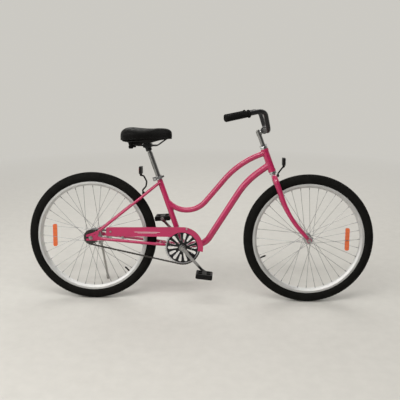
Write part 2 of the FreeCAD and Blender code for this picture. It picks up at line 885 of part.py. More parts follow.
def make_rear_dropouts():
    """Slotted plates between the ends of the stays, with two eyelets each, drawn from the axle."""
    outline = [
        ("-drop_rear", "-drop_half_height"),
        ("chain_stay_end_reach / 4", "-drop_half_height"),
        *stay_end_corners(chain_stay_bend, chain_stay_end, size.chain_stay_radius),
        ("chain_stay_end_reach * 2 / 3", "chain_stay_end_drop + seat_stay_radius / 2"),
        *stay_end_corners(seat_stay_bend, seat_stay_end, size.seat_stay_radius),
        ("seat_stay_radius", "seat_stay_end_up * 3 / 4"),
        ("-rear_eyelet_back", "rear_eyelet_up + 3 * eyelet_radius"),
        ("-drop_rear", "rear_eyelet_up + eyelet_radius"),
    ]
    eyelets = [
        ("-rear_eyelet_back", "rear_eyelet_up", "eyelet_radius"),
        ("front_eyelet_forward", "front_eyelet_up", "eyelet_radius"),
    ]
    place = on_right(rear_axle, size.rear_drop_half_width)
    body = plate("dropout", outline, "drop_thickness", place, eyelets)
    slot = [
        ("0", "-rear_axle_radius - drop_slot_gap", "rear_axle_radius + drop_slot_gap"),
        ("rear_axle_radius + drop_slot_gap", "0", "rear_axle_radius + drop_slot_gap"),
        ("0", "rear_axle_radius + drop_slot_gap"),
        ("-drop_rear * 2", "rear_axle_radius + drop_slot_gap"),
        ("-drop_rear * 2", "-rear_axle_radius - drop_slot_gap"),
    ]
    pocket(body, draw(body, "XY_Plane", slot, "dropout_slot"), "dropout_slot_cut")
    group("rear_dropouts", [body, mirrored(body)])


# Wheels, drawn in side view about their axle with Z to the right
def make_tyre(label, axle):
    centre = "(tyre_radius - tyre_half_width)"
    shoulder = "(rim_radius + shoulder_lift)"
    outer = "sqrt(tyre_half_width ^ 2 - (%s - %s) ^ 2)" % (centre, shoulder)
    inner_radius = "(tyre_half_width - tyre_wall)"
    inner_shoulder = "(rim_radius + shoulder_lift / 3)"
    inner = "sqrt(%s ^ 2 - (%s - %s) ^ 2)" % (inner_radius, centre, inner_shoulder)
    bead = "(bead_half_width - bead_thickness)"
    outline = [
        (shoulder, "-" + outer, "tyre_half_width"),
        ("tyre_radius", "0", "tyre_half_width"),
        (shoulder, outer),
        ("rim_radius + seat_gap", "bead_half_width"),
        ("bead_radius", "bead_half_width"),
        ("bead_radius", bead),
        (inner_shoulder, inner, "-" + inner_radius),
        ("tyre_radius - tyre_wall", "0", "-" + inner_radius),
        (inner_shoulder, "-" + inner),
        ("bead_radius", "-" + bead),
        ("bead_radius", "-bead_half_width"),
        ("rim_radius + seat_gap", "-bead_half_width"),
    ]
    add_sub_part(turned(label, outline, on_right(axle)), label)


def radial_pin(radius, inner, outer, degrees):
    """A round bar that points outwards from the wheel's centre."""
    return bar(on_circle(inner, degrees), on_circle(outer, degrees), radius)


def make_inner_tube(label, axle, degrees):
    """A hollow ring inside the tyre, with the valve that comes through the rim."""
    centre = size.tyre_radius - size.tyre_half_width
    radius = size.tyre_half_width - size.tyre_wall - size.inner_tube_gap
    ring = Part.makeTorus(centre, radius).cut(Part.makeTorus(centre, radius - size.inner_tube_wall))
    root = centre - radius + size.inner_tube_wall / 2
    valve = radial_pin(size.valve_radius, root - size.valve_length, root, degrees)
    add_sub_part(shaped(label, ring.fuse(valve)), label, on_right(axle))


def make_rim(label, axle, degrees):
    """A rolled rim with a hole for the valve."""
    seat = "(bead_half_width + seat_gap)"
    floor = "(rim_inner_radius + rim_floor_wall)"
    ledge = "(bead_radius - seat_gap)"
    half = [
        ("rim_radius", seat),
        ("rim_radius", "rim_half_width"),
        ("rim_side_radius", "rim_half_width"),
        ("rim_inner_radius", "rim_floor_half_width"),
        ("rim_inner_radius", "-rim_floor_half_width"),
        ("rim_side_radius", "-rim_half_width"),
        ("rim_radius", "-rim_half_width"),
        ("rim_radius", "-" + seat),
        (ledge, "-" + seat),
        ("%s - rim_floor_wall / 2" % ledge, "-" + seat + " + rim_floor_wall"),
        (floor, "-rim_floor_half_width + rim_floor_wall / 2"),
        (floor, "rim_floor_half_width - rim_floor_wall / 2"),
        ("%s - rim_floor_wall / 2" % ledge, seat + " - rim_floor_wall"),
        (ledge, seat),
    ]
    body = turned(label + "_ring", half, Placement())
    hole = doc.addObject("Part::Cylinder", label + "_valve_hole")
    hole.setExpression("Radius", bound("valve_radius + seat_gap"))
    hole.setExpression("Height", bound("rim_radius"))
    hole.Placement = seated(Vector(0, 0, 0), on_circle(1, degrees), UP)
    drilled = doc.addObject("Part::Cut", label + "_drilled")
    drilled.Base = body
    drilled.Tool = hole
    add_sub_part(drilled, label, on_right(axle))


def spoke_lines(hole_circle, flanges):
    """The ends of each crossed spoke. Outgoing ones lie outside the flange and the others inside."""
    per_side = int(size.spoke_count) // 2
    step = 360 / per_side
    outer = size.rim_inner_radius - size.seat_gap
    for side, flange in ((1, flanges[0]), (-1, flanges[1])):
        for index in range(per_side):
            degrees = step * index + (0 if side > 0 else step / 2)
            way = 1 if index % 2 else -1
            elbow = size.spoke_elbow if way > 0 else size.spoke_elbow / 2
            stand_off = size.flange_thickness / 2 + size.spoke_radius + elbow
            start = on_circle(hole_circle, degrees, side * (flange + way * stand_off))
            rim_degrees = degrees + way * step * size.spoke_crossings
            yield start, on_circle(outer, rim_degrees, side * size.spoke_rim_offset)


def make_spokes(label, axle, hole_circle, flanges):
    """Crossed spokes with their nipples."""
    solids = []
    for start, finish in spoke_lines(hole_circle, flanges):
        neck = finish - (finish - start).normalize() * size.nipple_length
        solids.append(prism(6, start, neck, size.spoke_radius))
        solids.append(prism(6, neck, finish, size.nipple_radius))
    add_sub_part(shaped(label, Part.makeCompound(solids)), label, on_right(axle))


def make_front_hub():
    thick = "flange_thickness / 2"
    half = [
        ("front_barrel_radius - 2 * flange_thickness / 3", "front_hub_half_length"),
        ("front_barrel_radius", "front_hub_half_length - flange_thickness / 2"),
        ("front_barrel_radius", "front_flange_offset + %s" % thick),
        ("front_flange_radius", "front_flange_offset + %s" % thick),
        ("front_flange_radius", "front_flange_offset - %s" % thick),
        ("front_barrel_radius", "front_flange_offset - %s - flange_thickness / 3" % thick),
    ]
    outline = [("front_cone_radius + running_gap", "front_hub_half_length")]
    outline += half
    outline += [(radius, "-(%s)" % along) for radius, along in reversed(half)]
    outline += [("front_cone_radius + running_gap", "-front_hub_half_length")]
    add_sub_part(turned("front_hub", outline, on_right(front_axle)), "front_hub")


def make_rear_hub():
    """The coaster hub's shell: a drum on the left for the brake, and a narrower bore for the driver."""
    thick = "flange_thickness / 2"
    outline = [
        ("driver_radius + running_gap", "rear_hub_right"),
        ("rear_barrel_radius - flange_thickness", "rear_hub_right"),
        ("rear_barrel_radius", "rear_flange_right + %s" % thick),
        ("rear_flange_radius", "rear_flange_right + %s" % thick),
        ("rear_flange_radius", "rear_flange_right - %s" % thick),
        ("rear_barrel_radius", "rear_flange_right - %s - flange_thickness / 3" % thick),
        ("rear_barrel_radius", "-rear_flange_left + 3 * flange_thickness"),
        ("brake_drum_radius", "-rear_flange_left + %s" % thick),
        ("rear_flange_radius", "-rear_flange_left + %s" % thick),
        ("rear_flange_radius", "-rear_flange_left - %s" % thick),
        ("brake_drum_radius", "-rear_flange_left - %s" % thick),
        ("brake_drum_radius", "-rear_hub_left + flange_thickness"),
        ("brake_drum_radius - flange_thickness", "-rear_hub_left"),
        ("brake_cone_radius + running_gap", "-rear_hub_left"),
        ("brake_cone_radius + running_gap", "rear_hub_right - driver_depth"),
        ("driver_radius + running_gap", "rear_hub_right - driver_depth"),
    ]
    add_sub_part(turned("rear_hub", outline, on_right(rear_axle)), "rear_hub")


def make_wheel_reflector(label, axle, degrees, hole_circle, flanges):
    """A flat lozenge between the two cones of spokes, lying against the right-hand ones."""
    half_length = "wheel_reflector_length / 2"
    half_width = "wheel_reflector_width / 2"
    corner = "wheel_reflector_corner"
    outline = []
    for across, up in ((1, -1), (1, 1), (-1, 1), (-1, -1)):
        x = "%d * %s" % (across, half_width)
        y = "%d * %s" % (up, half_length)
        x_in = "%d * (%s - %s)" % (across, half_width, corner)
        y_in = "%d * (%s - %s)" % (up, half_length, corner)
        pair = [(x_in, y), (x, y_in)] if across * up < 0 else [(x, y_in), (x_in, y)]
        outline += [pair[0] + (corner,), pair[1]]
    out = on_circle(1, degrees)
    along = on_circle(1, degrees + 90)
    heights = []
    for start, finish in spoke_lines(hole_circle, flanges):
        for count in range(spoke_samples + 1):
            spot = point_between(start, finish, count / spoke_samples)
            across_gap = abs(spot.dot(out) - size.wheel_reflector_radius) - size.wheel_reflector_width / 2
            along_gap = abs(spot.dot(along)) - size.wheel_reflector_length / 2
            if spot.z > 0 and max(across_gap, along_gap) < size.spoke_radius:
                heights.append(spot.z)
    face = min(heights) - size.spoke_radius - size.seat_gap
    middle = on_circle(size.wheel_reflector_radius, degrees, face - size.wheel_reflector_thickness)
    place = on_right(axle).multiply(seated(middle, UP, out))
    add_sub_part(plate(label, outline, "wheel_reflector_thickness", place), label)


def hex_nut(near, radius, bore, height):
    """A hexagon nut, drawn about an axle with Z to the right, from its near face outwards."""
    top = near + math.copysign(height, near)
    form = prism(6, Vector(0, 0, near), Vector(0, 0, top), radius, FORWARD)
    return form.cut(bar(Vector(0, 0, near), Vector(0, 0, top), bore))


def ring_on_axle(near, far, radius, bore):
    return pipe(Vector(0, 0, near), Vector(0, 0, far), radius, bore)


def axle_with_nuts(half_length, radius, plate_face):
    """A threaded axle with a washer and a nut outside each fork end or dropout."""
    solids = [bar(Vector(0, 0, -half_length), Vector(0, 0, half_length), radius)]
    for side in (1, -1):
        face = plate_face + size.washer_thickness
        solids.append(ring_on_axle(side * plate_face, side * face, size.washer_radius, radius))
        solids.append(hex_nut(side * face, size.nut_radius, radius, size.nut_height))
    return solids


def make_front_axle():
    """The front axle with its two bearing cones, washers and nuts."""
    face = size.front_drop_half_width + size.fork_end_thickness
    solids = axle_with_nuts(size.front_axle_half_length, size.front_axle_radius, face)
    inner = size.front_hub_half_length - size.front_cone_depth
    for side in (1, -1):
        ends = (side * inner, side * size.front_drop_half_width)
        solids.append(ring_on_axle(*ends, size.front_cone_radius, size.front_axle_radius))
    add_sub_part(shaped("front_axle", Part.makeCompound(solids)), "front_axle", on_right(front_axle))


def make_rear_axle():
    """The rear axle with the driver's cone on the right, washers and nuts."""
    face = size.rear_drop_half_width + size.drop_thickness
    solids = axle_with_nuts(size.rear_axle_half_length, size.rear_axle_radius, face)
    nose = size.driver_nose + size.moving_gap
    solids.append(ring_on_axle(nose, size.rear_drop_half_width, size.driver_radius, size.rear_axle_radius))
    add_sub_part(shaped("rear_axle", Part.makeCompound(solids)), "rear_axle", on_right(rear_axle))


def make_brake_arm():
    """The coaster brake's anchor cone with its shoes, the arm, and the strap that holds it to the stay."""
    inner_face = size.rear_drop_half_width - size.brake_arm_gap
    outer_end = Vector(size.brake_arm_reach, -size.brake_arm_drop, 0)
    elbow = Vector(size.brake_arm_elbow, -size.brake_arm_drop * 3 / 4, 0)
    wide = size.brake_cone_radius + size.brake_arm_half_width / 2
    half = Vector(0, size.brake_arm_half_width, 0)
    corners = [
        Vector(-wide, 0, 0),
        Vector(-wide / 2, -wide, 0),
        elbow - half,
        outer_end - half,
        outer_end + Vector(size.brake_arm_half_width, 0, 0),
        outer_end + half,
        elbow + half,
        Vector(wide, wide / 4, 0),
        Vector(wide / 2, wide, 0),
        Vector(-wide / 2, wide, 0),
    ]
    arm = Part.Face(Part.makePolygon(corners + corners[:1])).extrude(UP * size.brake_arm_thickness)
    arm.translate(UP * -inner_face)
    axle_bore = size.rear_axle_radius + size.running_gap
    bore = bar(UP * -size.rear_axle_half_length, UP * size.rear_axle_half_length, axle_bore)
    bolt_hole = bar(outer_end - UP * size.rear_axle_half_length, outer_end, size.small_bolt_radius)
    arm = arm.cut(bore).cut(bolt_hole)
    cone_end = -inner_face + size.brake_arm_thickness
    cone_in = -size.rear_hub_left + size.driver_depth / 2
    cone = ring_on_axle(cone_end, cone_in, size.brake_cone_radius, axle_bore)
    shoe_end = size.rear_hub_right - size.driver_depth - size.moving_gap
    shoes = ring_on_axle(cone_in, shoe_end - size.driver_depth, size.brake_shoe_radius, axle_bore)
    place = on_right(rear_axle)
    pieces = [form.transformGeometry(place.toMatrix()) for form in (arm, cone, shoes)]
    pieces += strap_pieces(place.multVec(outer_end), -inner_face)
    add_sub_part(shaped("brake_arm", Part.makeCompound(pieces)), "brake_arm")


def strap_pieces(hole, arm_face):
    """The band round the left chain stay, its tongue beside the arm, and the bolt through both."""
    spot = crossing(chain_stay_bend, chain_stay_end, hole.x - rear_axle.x)
    run = (chain_stay_end - chain_stay_bend).normalize() * size.strap_half_width
    band_radius = gapped(size.chain_stay_radius)
    band = pipe(spot - run, spot + run, band_radius + size.strap_thickness, band_radius)
    inner = -arm_face - size.brake_arm_thickness - size.strap_thickness
    tongue = Part.makeBox(
        2 * size.strap_half_width,
        size.strap_thickness,
        spot.z - hole.z + size.small_head_radius,
        Vector(hole.x - size.strap_half_width, inner, hole.z - size.small_head_radius),
    )
    stay = bar(*lengthened(spot - run, spot + run, size.cut_overrun), band_radius)
    out = Vector(hole.x, -arm_face, hole.z)
    bolt = bar(Vector(hole.x, inner, hole.z), out, size.small_bolt_radius)
    bolt_head = bar(out, out + LATERAL * size.small_head_height, size.small_head_radius)
    return [band.fuse(tongue.cut(stay)).cut(bolt), bolt.fuse(bolt_head)]


# Drive
chain_spread = math.acos((ring_pitch_radius - sprocket_pitch_radius) / centre_distance)
chain_slope = math.atan2(rear_axle.z - crank_centre.z, rear_axle.x - crank_centre.x)
upper_turn = chain_slope - chain_spread
lower_turn = chain_slope + chain_spread
straight_run = math.sqrt(centre_distance**2 - (ring_pitch_radius - sprocket_pitch_radius) ** 2)
straight_links = straight_run / size.chain_pitch
sprocket_links = size.sprocket_teeth * chain_spread / math.pi


def chain_point(count):
    """Where the chain is after a number of pitches, from the top of the chain wheel towards the rear."""
    top = (
        on_turn(crank_centre, ring_pitch_radius, upper_turn),
        on_turn(rear_axle, sprocket_pitch_radius, upper_turn),
    )
    low = (
        on_turn(rear_axle, sprocket_pitch_radius, lower_turn),
        on_turn(crank_centre, ring_pitch_radius, lower_turn),
    )
    if count <= straight_links:
        return point_between(*top, count / straight_links)
    count -= straight_links
    if count <= sprocket_links:
        turn = upper_turn + count * 2 * math.pi / size.sprocket_teeth
        return on_turn(rear_axle, sprocket_pitch_radius, turn)
    count -= sprocket_links
    if count <= straight_links:
        return point_between(*low, count / straight_links)
    count -= straight_links
    return on_turn(crank_centre, ring_pitch_radius, lower_turn + count * 2 * math.pi / size.ring_teeth)


def on_turn(centre, radius, turn):
    return Vector(centre.x + radius * math.cos(turn), -size.chain_line, centre.z + radius * math.sin(turn))


def first_roller_turn(start_count, start_turn, teeth):
    """The direction of the first roller that sits on a sprocket."""
    return start_turn + (math.ceil(start_count) - start_count) * 2 * math.pi / teeth


ring_turn = first_roller_turn(2 * straight_links + sprocket_links, lower_turn, size.ring_teeth)
sprocket_turn = first_roller_turn(straight_links, upper_turn, size.sprocket_teeth)


def link_plate(start, finish, near, far):
    """One waisted side plate of a link, between two rollers and two distances from the chain's middle."""
    along = (finish - start).normalize()
    up = along.cross(LATERAL)
    tall = size.plate_half_height
    corners = []
    for spot, out in ((finish, along), (start, along * -1)):
        side = up if spot is finish else up * -1
        corners.append((start + finish) / 2 - side * size.plate_waist)
        tip = spot + out * tall
        corners += [spot - side * tall, tip - side * tall / 2, tip + side * tall / 2]
        corners.append(spot + side * tall)
    step = LATERAL * near
    corners = [corner + step for corner in corners]
    return Part.Face(Part.makePolygon(corners + corners[:1])).extrude(LATERAL * (far - near))


def make_chain():
    """Rollers, with inner and outer side plates in turn, closed round both sprockets."""
    links = int(size.chain_links)
    pins = [chain_point(index) for index in range(links)]
    width = LATERAL * size.roller_half_width
    solids = []
    for index, pin in enumerate(pins):
        following = pins[(index + 1) % links]
        solids.append(prism(6, pin - width, pin + width, size.roller_radius))
        near = size.roller_half_width + (size.plate_thickness if index % 2 else 0)
        for side in (1, -1):
            ends = (side * near, side * (near + size.plate_thickness))
            solids.append(link_plate(pin, following, *ends))
    add_sub_part(shaped("chain", Part.makeCompound(solids)), "chain")


def toothed_face(teeth, pitch_radius, first_turn):
    """A sprocket's outline in side view: round seats for the rollers between tapered teeth."""
    seat_radius = size.roller_radius + size.tooth_gap
    half_pitch = math.pi / teeth
    tip_radius = pitch_radius + size.tooth_height
    tip_turn = size.tooth_tip_half_width / tip_radius
    flank_share = 0.62
    edges = []
    for index in range(int(teeth)):
        turn = first_turn + 2 * half_pitch * index
        inward = Vector(-math.cos(turn), -math.sin(turn), 0)
        across = Vector(-math.sin(turn), math.cos(turn), 0)
        centre = inward * -pitch_radius
        sink = inward * seat_radius * math.cos(flank_share * math.pi / 2)
        reach = across * seat_radius * math.sin(flank_share * math.pi / 2)
        start, finish = centre + sink - reach, centre + sink + reach
        edges.append(Part.Arc(start, centre + inward * seat_radius, finish).toShape())
        tip_start = on_circle(tip_radius, math.degrees(turn + half_pitch - tip_turn))
        tip_end = on_circle(tip_radius, math.degrees(turn + half_pitch + tip_turn))
        next_turn = turn + 2 * half_pitch
        next_in = Vector(-math.cos(next_turn), -math.sin(next_turn), 0)
        next_across = Vector(-math.sin(next_turn), math.cos(next_turn), 0)
        next_start = next_in * -pitch_radius + next_in * sink.Length - next_across * reach.Length
        corners = [finish, tip_start, tip_end, next_start]
        for begin, end in zip(corners, corners[1:]):
            edges.append(Part.LineSegment(begin, end).toShape())
    return Part.Face(Part.Wire(edges))


def make_chainring():
    """The toothed ring, bored out behind the disc that carries it."""
    half = size.ring_half_thickness
    form = toothed_face(size.ring_teeth, ring_pitch_radius, ring_turn).extrude(UP * 2 * half)
    form = form.cut(bar(UP * -half, UP * 3 * half, size.ring_inner_radius))
    place = on_right(crank_centre, size.chain_line - half)
    add_sub_part(shaped("chainring", form), "chainring", place)


def make_rear_sprocket():
    """The small sprocket and the driver that carries it into the hub."""
    half = size.ring_half_thickness
    form = toothed_face(size.sprocket_teeth, sprocket_pitch_radius, sprocket_turn).extrude(UP * 2 * half)
    form.translate(UP * (size.chain_line - half))
    start = size.rear_hub_right - size.driver_depth + size.moving_gap
    form = form.fuse(bar(UP * start, UP * size.driver_nose, size.driver_radius))
    bore = size.rear_axle_radius + size.running_gap
    form = form.cut(bar(UP * 0, UP * size.rear_axle_half_length, bore))
    add_sub_part(shaped("rear_sprocket", form.removeSplitter()), "rear_sprocket", on_right(rear_axle))


def make_chainring_disc():
    """The pressed disc outside the toothed ring, with long and short petal slots in turn."""
    body = new_body("chainring_disc")
    rings = [("0", "0", "disc_radius"), ("0", "0", "disc_bore")]
    pad(body, draw_circles(body, "XY_Plane", rings, "disc_outline"), "disc_thickness", "disc_pad")
    step = 180 / size.slot_count
    for name, turn in (("long_slot", 0.0), ("short_slot", step)):
        outer = "(slot_outer_radius - slot_outer_half_width)"
        slot = [
            ("%s_inner_radius" % name, "-%s_inner_half_width" % name),
            (outer, "-slot_outer_half_width", "slot_outer_half_width"),
            ("slot_outer_radius", "0", "slot_outer_half_width"),
            (outer, "slot_outer_half_width"),
            ("%s_inner_radius" % name, "%s_inner_half_width" % name, "%s_inner_half_width" % name),
            ("%s_inner_radius - %s_inner_half_width" % (name, name), "0", "%s_inner_half_width" % name),
        ]
        sketch = draw(body, "XY_Plane", slot, name + "_outline")
        sketch.AttachmentOffset = Placement(Vector(0, 0, 0), Rotation(UP, turn))
        cut = pocket(body, sketch, name + "_cut")
        doc.recompute()
        pattern = body.newObject("PartDesign::PolarPattern", name + "_ring")
        pattern.Originals = [cut]
        pattern.Axis = (sketch, ["N_Axis"])
        pattern.Angle = 360
        pattern.setExpression("Occurrences", bound("slot_count"))
        body.Tip = pattern
    place = on_right(crank_centre, size.chain_line + size.ring_half_thickness)
    place.Rotation = place.Rotation.multiply(Rotation(UP, size.disc_angle))
    add_sub_part(body, "chainring_disc", place)


# Bottom bracket, cranks and pedals
def make_bottom_bracket_cups():
    outline = [
        ("spindle_radius + running_gap", "shell_half_length - cup_depth"),
        ("shell_bore - running_gap", "shell_half_length - cup_depth"),
        ("shell_bore - running_gap", "shell_half_length"),
        ("cup_flange_radius", "shell_half_length"),
        ("cup_flange_radius", "shell_half_length + cup_flange_thickness"),
        ("spindle_radius + running_gap", "shell_half_length + cup_flange_thickness"),
    ]
    cup = turned("bottom_bracket_cup", outline, on_right(crank_centre))
    group("bottom_bracket_cups", [cup, mirrored(cup)])


def crank_direction():
    turn = math.radians(size.crank_angle)
    return Vector(math.cos(turn), 0, math.sin(turn))


def make_crank_spindle():
    """A round spindle with a square end for each crank."""
    half = size.spindle_half_length
    round_half = half - size.spindle_square_length
    corner = size.spindle_square / math.sqrt(2)
    corner_way = Rotation(LATERAL, 45).multVec(crank_direction())
    middle = LATERAL * round_half
    forms = [bar(crank_centre - middle, crank_centre + middle, size.spindle_radius)]
    for side in (LATERAL, LATERAL * -1):
        square = prism(4, crank_centre + side * round_half, crank_centre + side * half, corner, corner_way)
        forms.append(square)
    form = forms[0].fuse(forms[1:]).removeSplitter()
    for side in (LATERAL, LATERAL * -1):
        inner = half - size.crank_bolt_length
        bore = bar(crank_centre + side * inner, crank_centre + side * half, gapped(size.crank_bolt_radius))
        form = form.cut(bore)
    add_sub_part(shaped("crank_spindle", form), "crank_spindle")


def make_crank_bolts():
    """The bolt that holds each crank on its end of the spindle."""
    half = size.spindle_half_length
    solids = []
    for side in (LATERAL, LATERAL * -1):
        seat_face = crank_centre + side * half
        shank_end = seat_face - side * (size.crank_bolt_length - size.moving_gap)
        shank = bar(shank_end, seat_face, size.crank_bolt_radius)
        top = seat_face + side * size.crank_bolt_head_height
        solids.append(shank.fuse(prism(6, seat_face, top, size.crank_bolt_head_radius)))
    add_sub_part(shaped("crank_bolts", Part.makeCompound(solids)), "crank_bolts")


def make_crank(label, direction, outward):
    """A forged crank: a boss on the spindle, a waisted arm and the pedal's eye."""
    face = crank_centre + outward * size.crank_inner_face
    place = seated(face, outward, direction)
    boss = "crank_boss_radius"
    eye = "crank_eye_radius"
    waist = "crank_waist_half_width"
    outline = [
        ("0", "-" + boss),
        ("2 * " + boss, "-%s - spindle_radius / 4" % waist),
        ("crank_length - 2 * %s" % eye, "-" + waist),
        ("crank_length", "-" + eye, eye),
        ("crank_length + " + eye, "0", eye),
        ("crank_length", eye),
        ("crank_length - 2 * %s" % eye, waist),
        ("2 * " + boss, "%s + spindle_radius / 4" % waist),
        ("0", boss, boss),
        ("-" + boss, "0", boss),
    ]
    hole = [("crank_length", "0", "pedal_spindle_radius + running_gap")]
    body = plate(label + "_arm", outline, "crank_thickness", Placement(), hole)
    hub = doc.addObject("Part::Cylinder", label + "_hub")
    hub.setExpression("Radius", bound("crank_hub_radius"))
    inner = "crank_inner_face - chain_line - ring_half_thickness - disc_thickness"
    hub.setExpression("Height", bound(inner))
    hub.Placement = Placement(UP * -number(inner), Rotation())
    cap = doc.addObject("Part::Cylinder", label + "_cap")
    cap.setExpression("Radius", bound("crank_cap_radius"))
    cap.setExpression("Height", bound("crank_cap_height"))
    cap.Placement = Placement(UP * size.crank_thickness, Rotation())
    solid = doc.addObject("Part::MultiFuse", label + "_forging")
    solid.Shapes = [body, hub, cap]
    square = doc.addObject("Part::Box", label + "_square")
    for side in ("Length", "Width"):
        square.setExpression(side, bound("spindle_square + 2 * running_gap"))
    square.setExpression("Height", bound("2 * spindle_square_length"))
    half = size.spindle_square / 2 + size.running_gap
    seat_face = size.spindle_half_length - size.crank_inner_face
    square.Placement = Placement(Vector(-half, -half, seat_face - 2 * size.spindle_square_length), Rotation())
    recess = doc.addObject("Part::Cylinder", label + "_recess")
    recess.setExpression("Radius", bound("crank_bolt_head_radius + moving_gap"))
    recess.setExpression("Height", bound("crank_thickness"))
    recess.Placement = Placement(UP * seat_face, Rotation())
    hollow = doc.addObject("Part::MultiFuse", label + "_hollow")
    hollow.Shapes = [square, recess]
    crank = doc.addObject("Part::Cut", label + "_cut")
    crank.Base = solid
    crank.Tool = hollow
    add_sub_part(crank, label, place)


def pedal_place(direction, outward, tilt):
    """A pedal's seat on its crank: Z outward along the spindle, X along the pedal."""
    face = size.crank_inner_face + size.crank_thickness
    eye = crank_centre + direction * size.crank_length + outward * face
    turn = math.radians(tilt)
    return seated(eye, outward, Vector(math.cos(turn), 0, math.sin(turn)))


def make_pedal_spindles(places):
    """Stepped spindles, screwed into the cranks."""
    radius = size.pedal_spindle_radius
    solids = []
    for place in places:
        start = place.multVec(UP * -size.crank_thickness)
        finish = place.multVec(UP * size.pedal_spindle_length)
        collar = place.multVec(UP * (size.pedal_inner_gap - size.moving_gap))
        form = bar(start, finish, radius).fuse(bar(place.Base, collar, radius + size.moving_gap * 4))
        solids.append(form)
    add_sub_part(shaped("pedal_spindles", Part.makeCompound(solids)), "pedal_spindles")


def make_pedal(label, place):
    """A moulded pedal: end bars, treads and ribs round a barrel, with open windows between them."""
    length, width, height = size.pedal_length, size.pedal_width, size.pedal_height
    low = UP * size.pedal_inner_gap
    block = Part.makeBox(length, height, width, Vector(-length / 2, -height / 2, 0) + low)
    edges = [edge for edge in block.Edges if abs(edge.Vertexes[0].Z - edge.Vertexes[-1].Z) > width / 2]
    block = block.makeFillet(size.pedal_corner, edges)
    window_length = length / 2 - size.pedal_barrel_radius - size.pedal_bar
    window_width = (width - 2 * size.pedal_bar - size.pedal_rib) / 2
    for across in (-1, 1):
        for index in range(2):
            corner = Vector(
                across * (size.pedal_barrel_radius + window_length / 2) - window_length / 2,
                -height,
                size.pedal_bar + index * (window_width + size.pedal_rib),
            )
            block = block.cut(Part.makeBox(window_length, 2 * height, window_width, corner + low))
    barrel = bar(low, low + UP * width, size.pedal_barrel_radius)
    bore_radius = size.pedal_spindle_radius + size.running_gap
    bore_end = UP * (size.pedal_spindle_length + size.moving_gap)
    form = block.fuse(barrel).cut(bar(UP * 0, bore_end, bore_radius)).removeSplitter()
    add_sub_part(shaped(label, form), label, place)


# Chain guard
def make_chain_guard():
    """A pressed guard over the chain's upper run, with a turned-in edge, drawn from the crank centre."""
    outline = guard_outline(0.0)
    body = new_body("chain_guard")
    sketch = draw(body, "XY_Plane", outline, "guard_outline")
    pad(body, sketch, "guard_depth", "guard_pad")
    inner = draw(body, "XY_Plane", guard_outline(size.guard_wall), "guard_inside")
    hollow = body.newObject("PartDesign::Pocket", "guard_hollow")
    hollow.Profile = inner
    hollow.setExpression("Length", bound("guard_depth - guard_wall"))
    hollow.Reversed = True
    screws = [
        ("guard_front_screw_forward", "guard_front_screw_up", "small_bolt_radius"),
        ("-guard_rear_screw_back", "guard_rear_screw_up", "small_bolt_radius"),
    ]
    pocket(body, draw_circles(body, "XY_Plane", screws, "guard_screw_holes"), "guard_screw_bores")
    place = on_right(crank_centre, size.guard_outer_face - size.guard_depth)
    add_sub_part(body, "chain_guard", place)


def guard_outline(wall):
    """The guard's side view, or the hollow inside it, which is open along its lower edge."""
    outer = size.guard_outer_radius - wall
    inner = size.guard_inner_radius - (size.guard_corner if wall else 0)
    low = size.guard_rear_bottom - (size.guard_corner if wall else 0)
    rear = -size.guard_rear_reach + wall
    top = size.guard_rear_top - wall
    corner = size.guard_corner - wall
    end = math.radians(size.guard_end_angle)
    end_out = Vector(outer * math.cos(end), outer * math.sin(end) + wall, 0)
    end_in = Vector(inner * math.cos(end), inner * math.sin(end) + wall, 0)
    reach = math.hypot(rear, top)
    touch = math.atan2(top, rear) - math.acos(outer / reach)
    meet = Vector(outer * math.cos(touch), outer * math.sin(touch), 0)
    start = Vector(-math.sqrt(inner**2 - low**2), low, 0)
    return [
        (rear, low),
        (start.x, start.y, -inner),
        (end_in.x, end_in.y),
        (end_out.x, end_out.y, outer),
        (meet.x, meet.y),
        (rear + corner, top, corner),
        (rear, top - corner),
    ]


def make_chain_guard_fixings():
    """The front stay from a band on the seat tube, the rear tab on the chain stay, and their screws."""
    face = LATERAL * -(size.guard_outer_face - size.guard_wall)
    front = crank_centre + Vector(size.guard_front_screw_forward, 0, size.guard_front_screw_up) + face
    rear = crank_centre + Vector(-size.guard_rear_screw_back, 0, size.guard_rear_screw_up) + face
    band_at = on_seat_tube(size.guard_front_screw_up)
    half = seat_up * size.guard_band_width / 2
    band_bore = gapped(size.seat_tube_radius)
    band_radius = band_bore + size.strap_thickness
    band = pipe(band_at - half, band_at + half, band_radius, band_bore)
    elbow = front + LATERAL * 2 * size.guard_rod_radius
    arm_points = [band_at - LATERAL * band_bore, elbow, front]
    arm = rod(arm_points, (size.guard_rod_radius,), size.guard_rod_radius)
    solids = [band.fuse(arm.cut(seat_tube_cut()))]
    stay = crossing(chain_stay_bend, chain_stay_end, rear.x - rear_axle.x)
    stay = Vector(stay.x, -stay.y, stay.z)
    tab = Part.makeBox(
        2 * size.guard_tab_half_width,
        size.strap_thickness,
        rear.z - stay.z + size.small_head_radius,
        Vector(rear.x - size.guard_tab_half_width, rear.y, stay.z),
    )
    stay_points = [chain_stay_start, chain_stay_bend, chain_stay_end]
    stay_bar = rod(stay_points, (size.chain_stay_bend,), gapped(size.chain_stay_radius))
    tab = tab.cut(mirror_shape(stay_bar))
    solids.append(tab.cut(bar(rear, rear + LATERAL * size.cut_overrun, size.small_bolt_radius)))
    for spot, depth in ((front, 0.0), (rear, size.strap_thickness)):
        outside = spot - LATERAL * size.guard_wall
        screw = bar(spot + LATERAL * depth, outside, size.small_bolt_radius)
        screw_head = bar(outside, outside - LATERAL * size.small_head_height, size.small_head_radius)
        solids.append(screw.fuse(screw_head))
    add_sub_part(shaped("chain_guard_fixings", Part.makeCompound(solids)), "chain_guard_fixings")


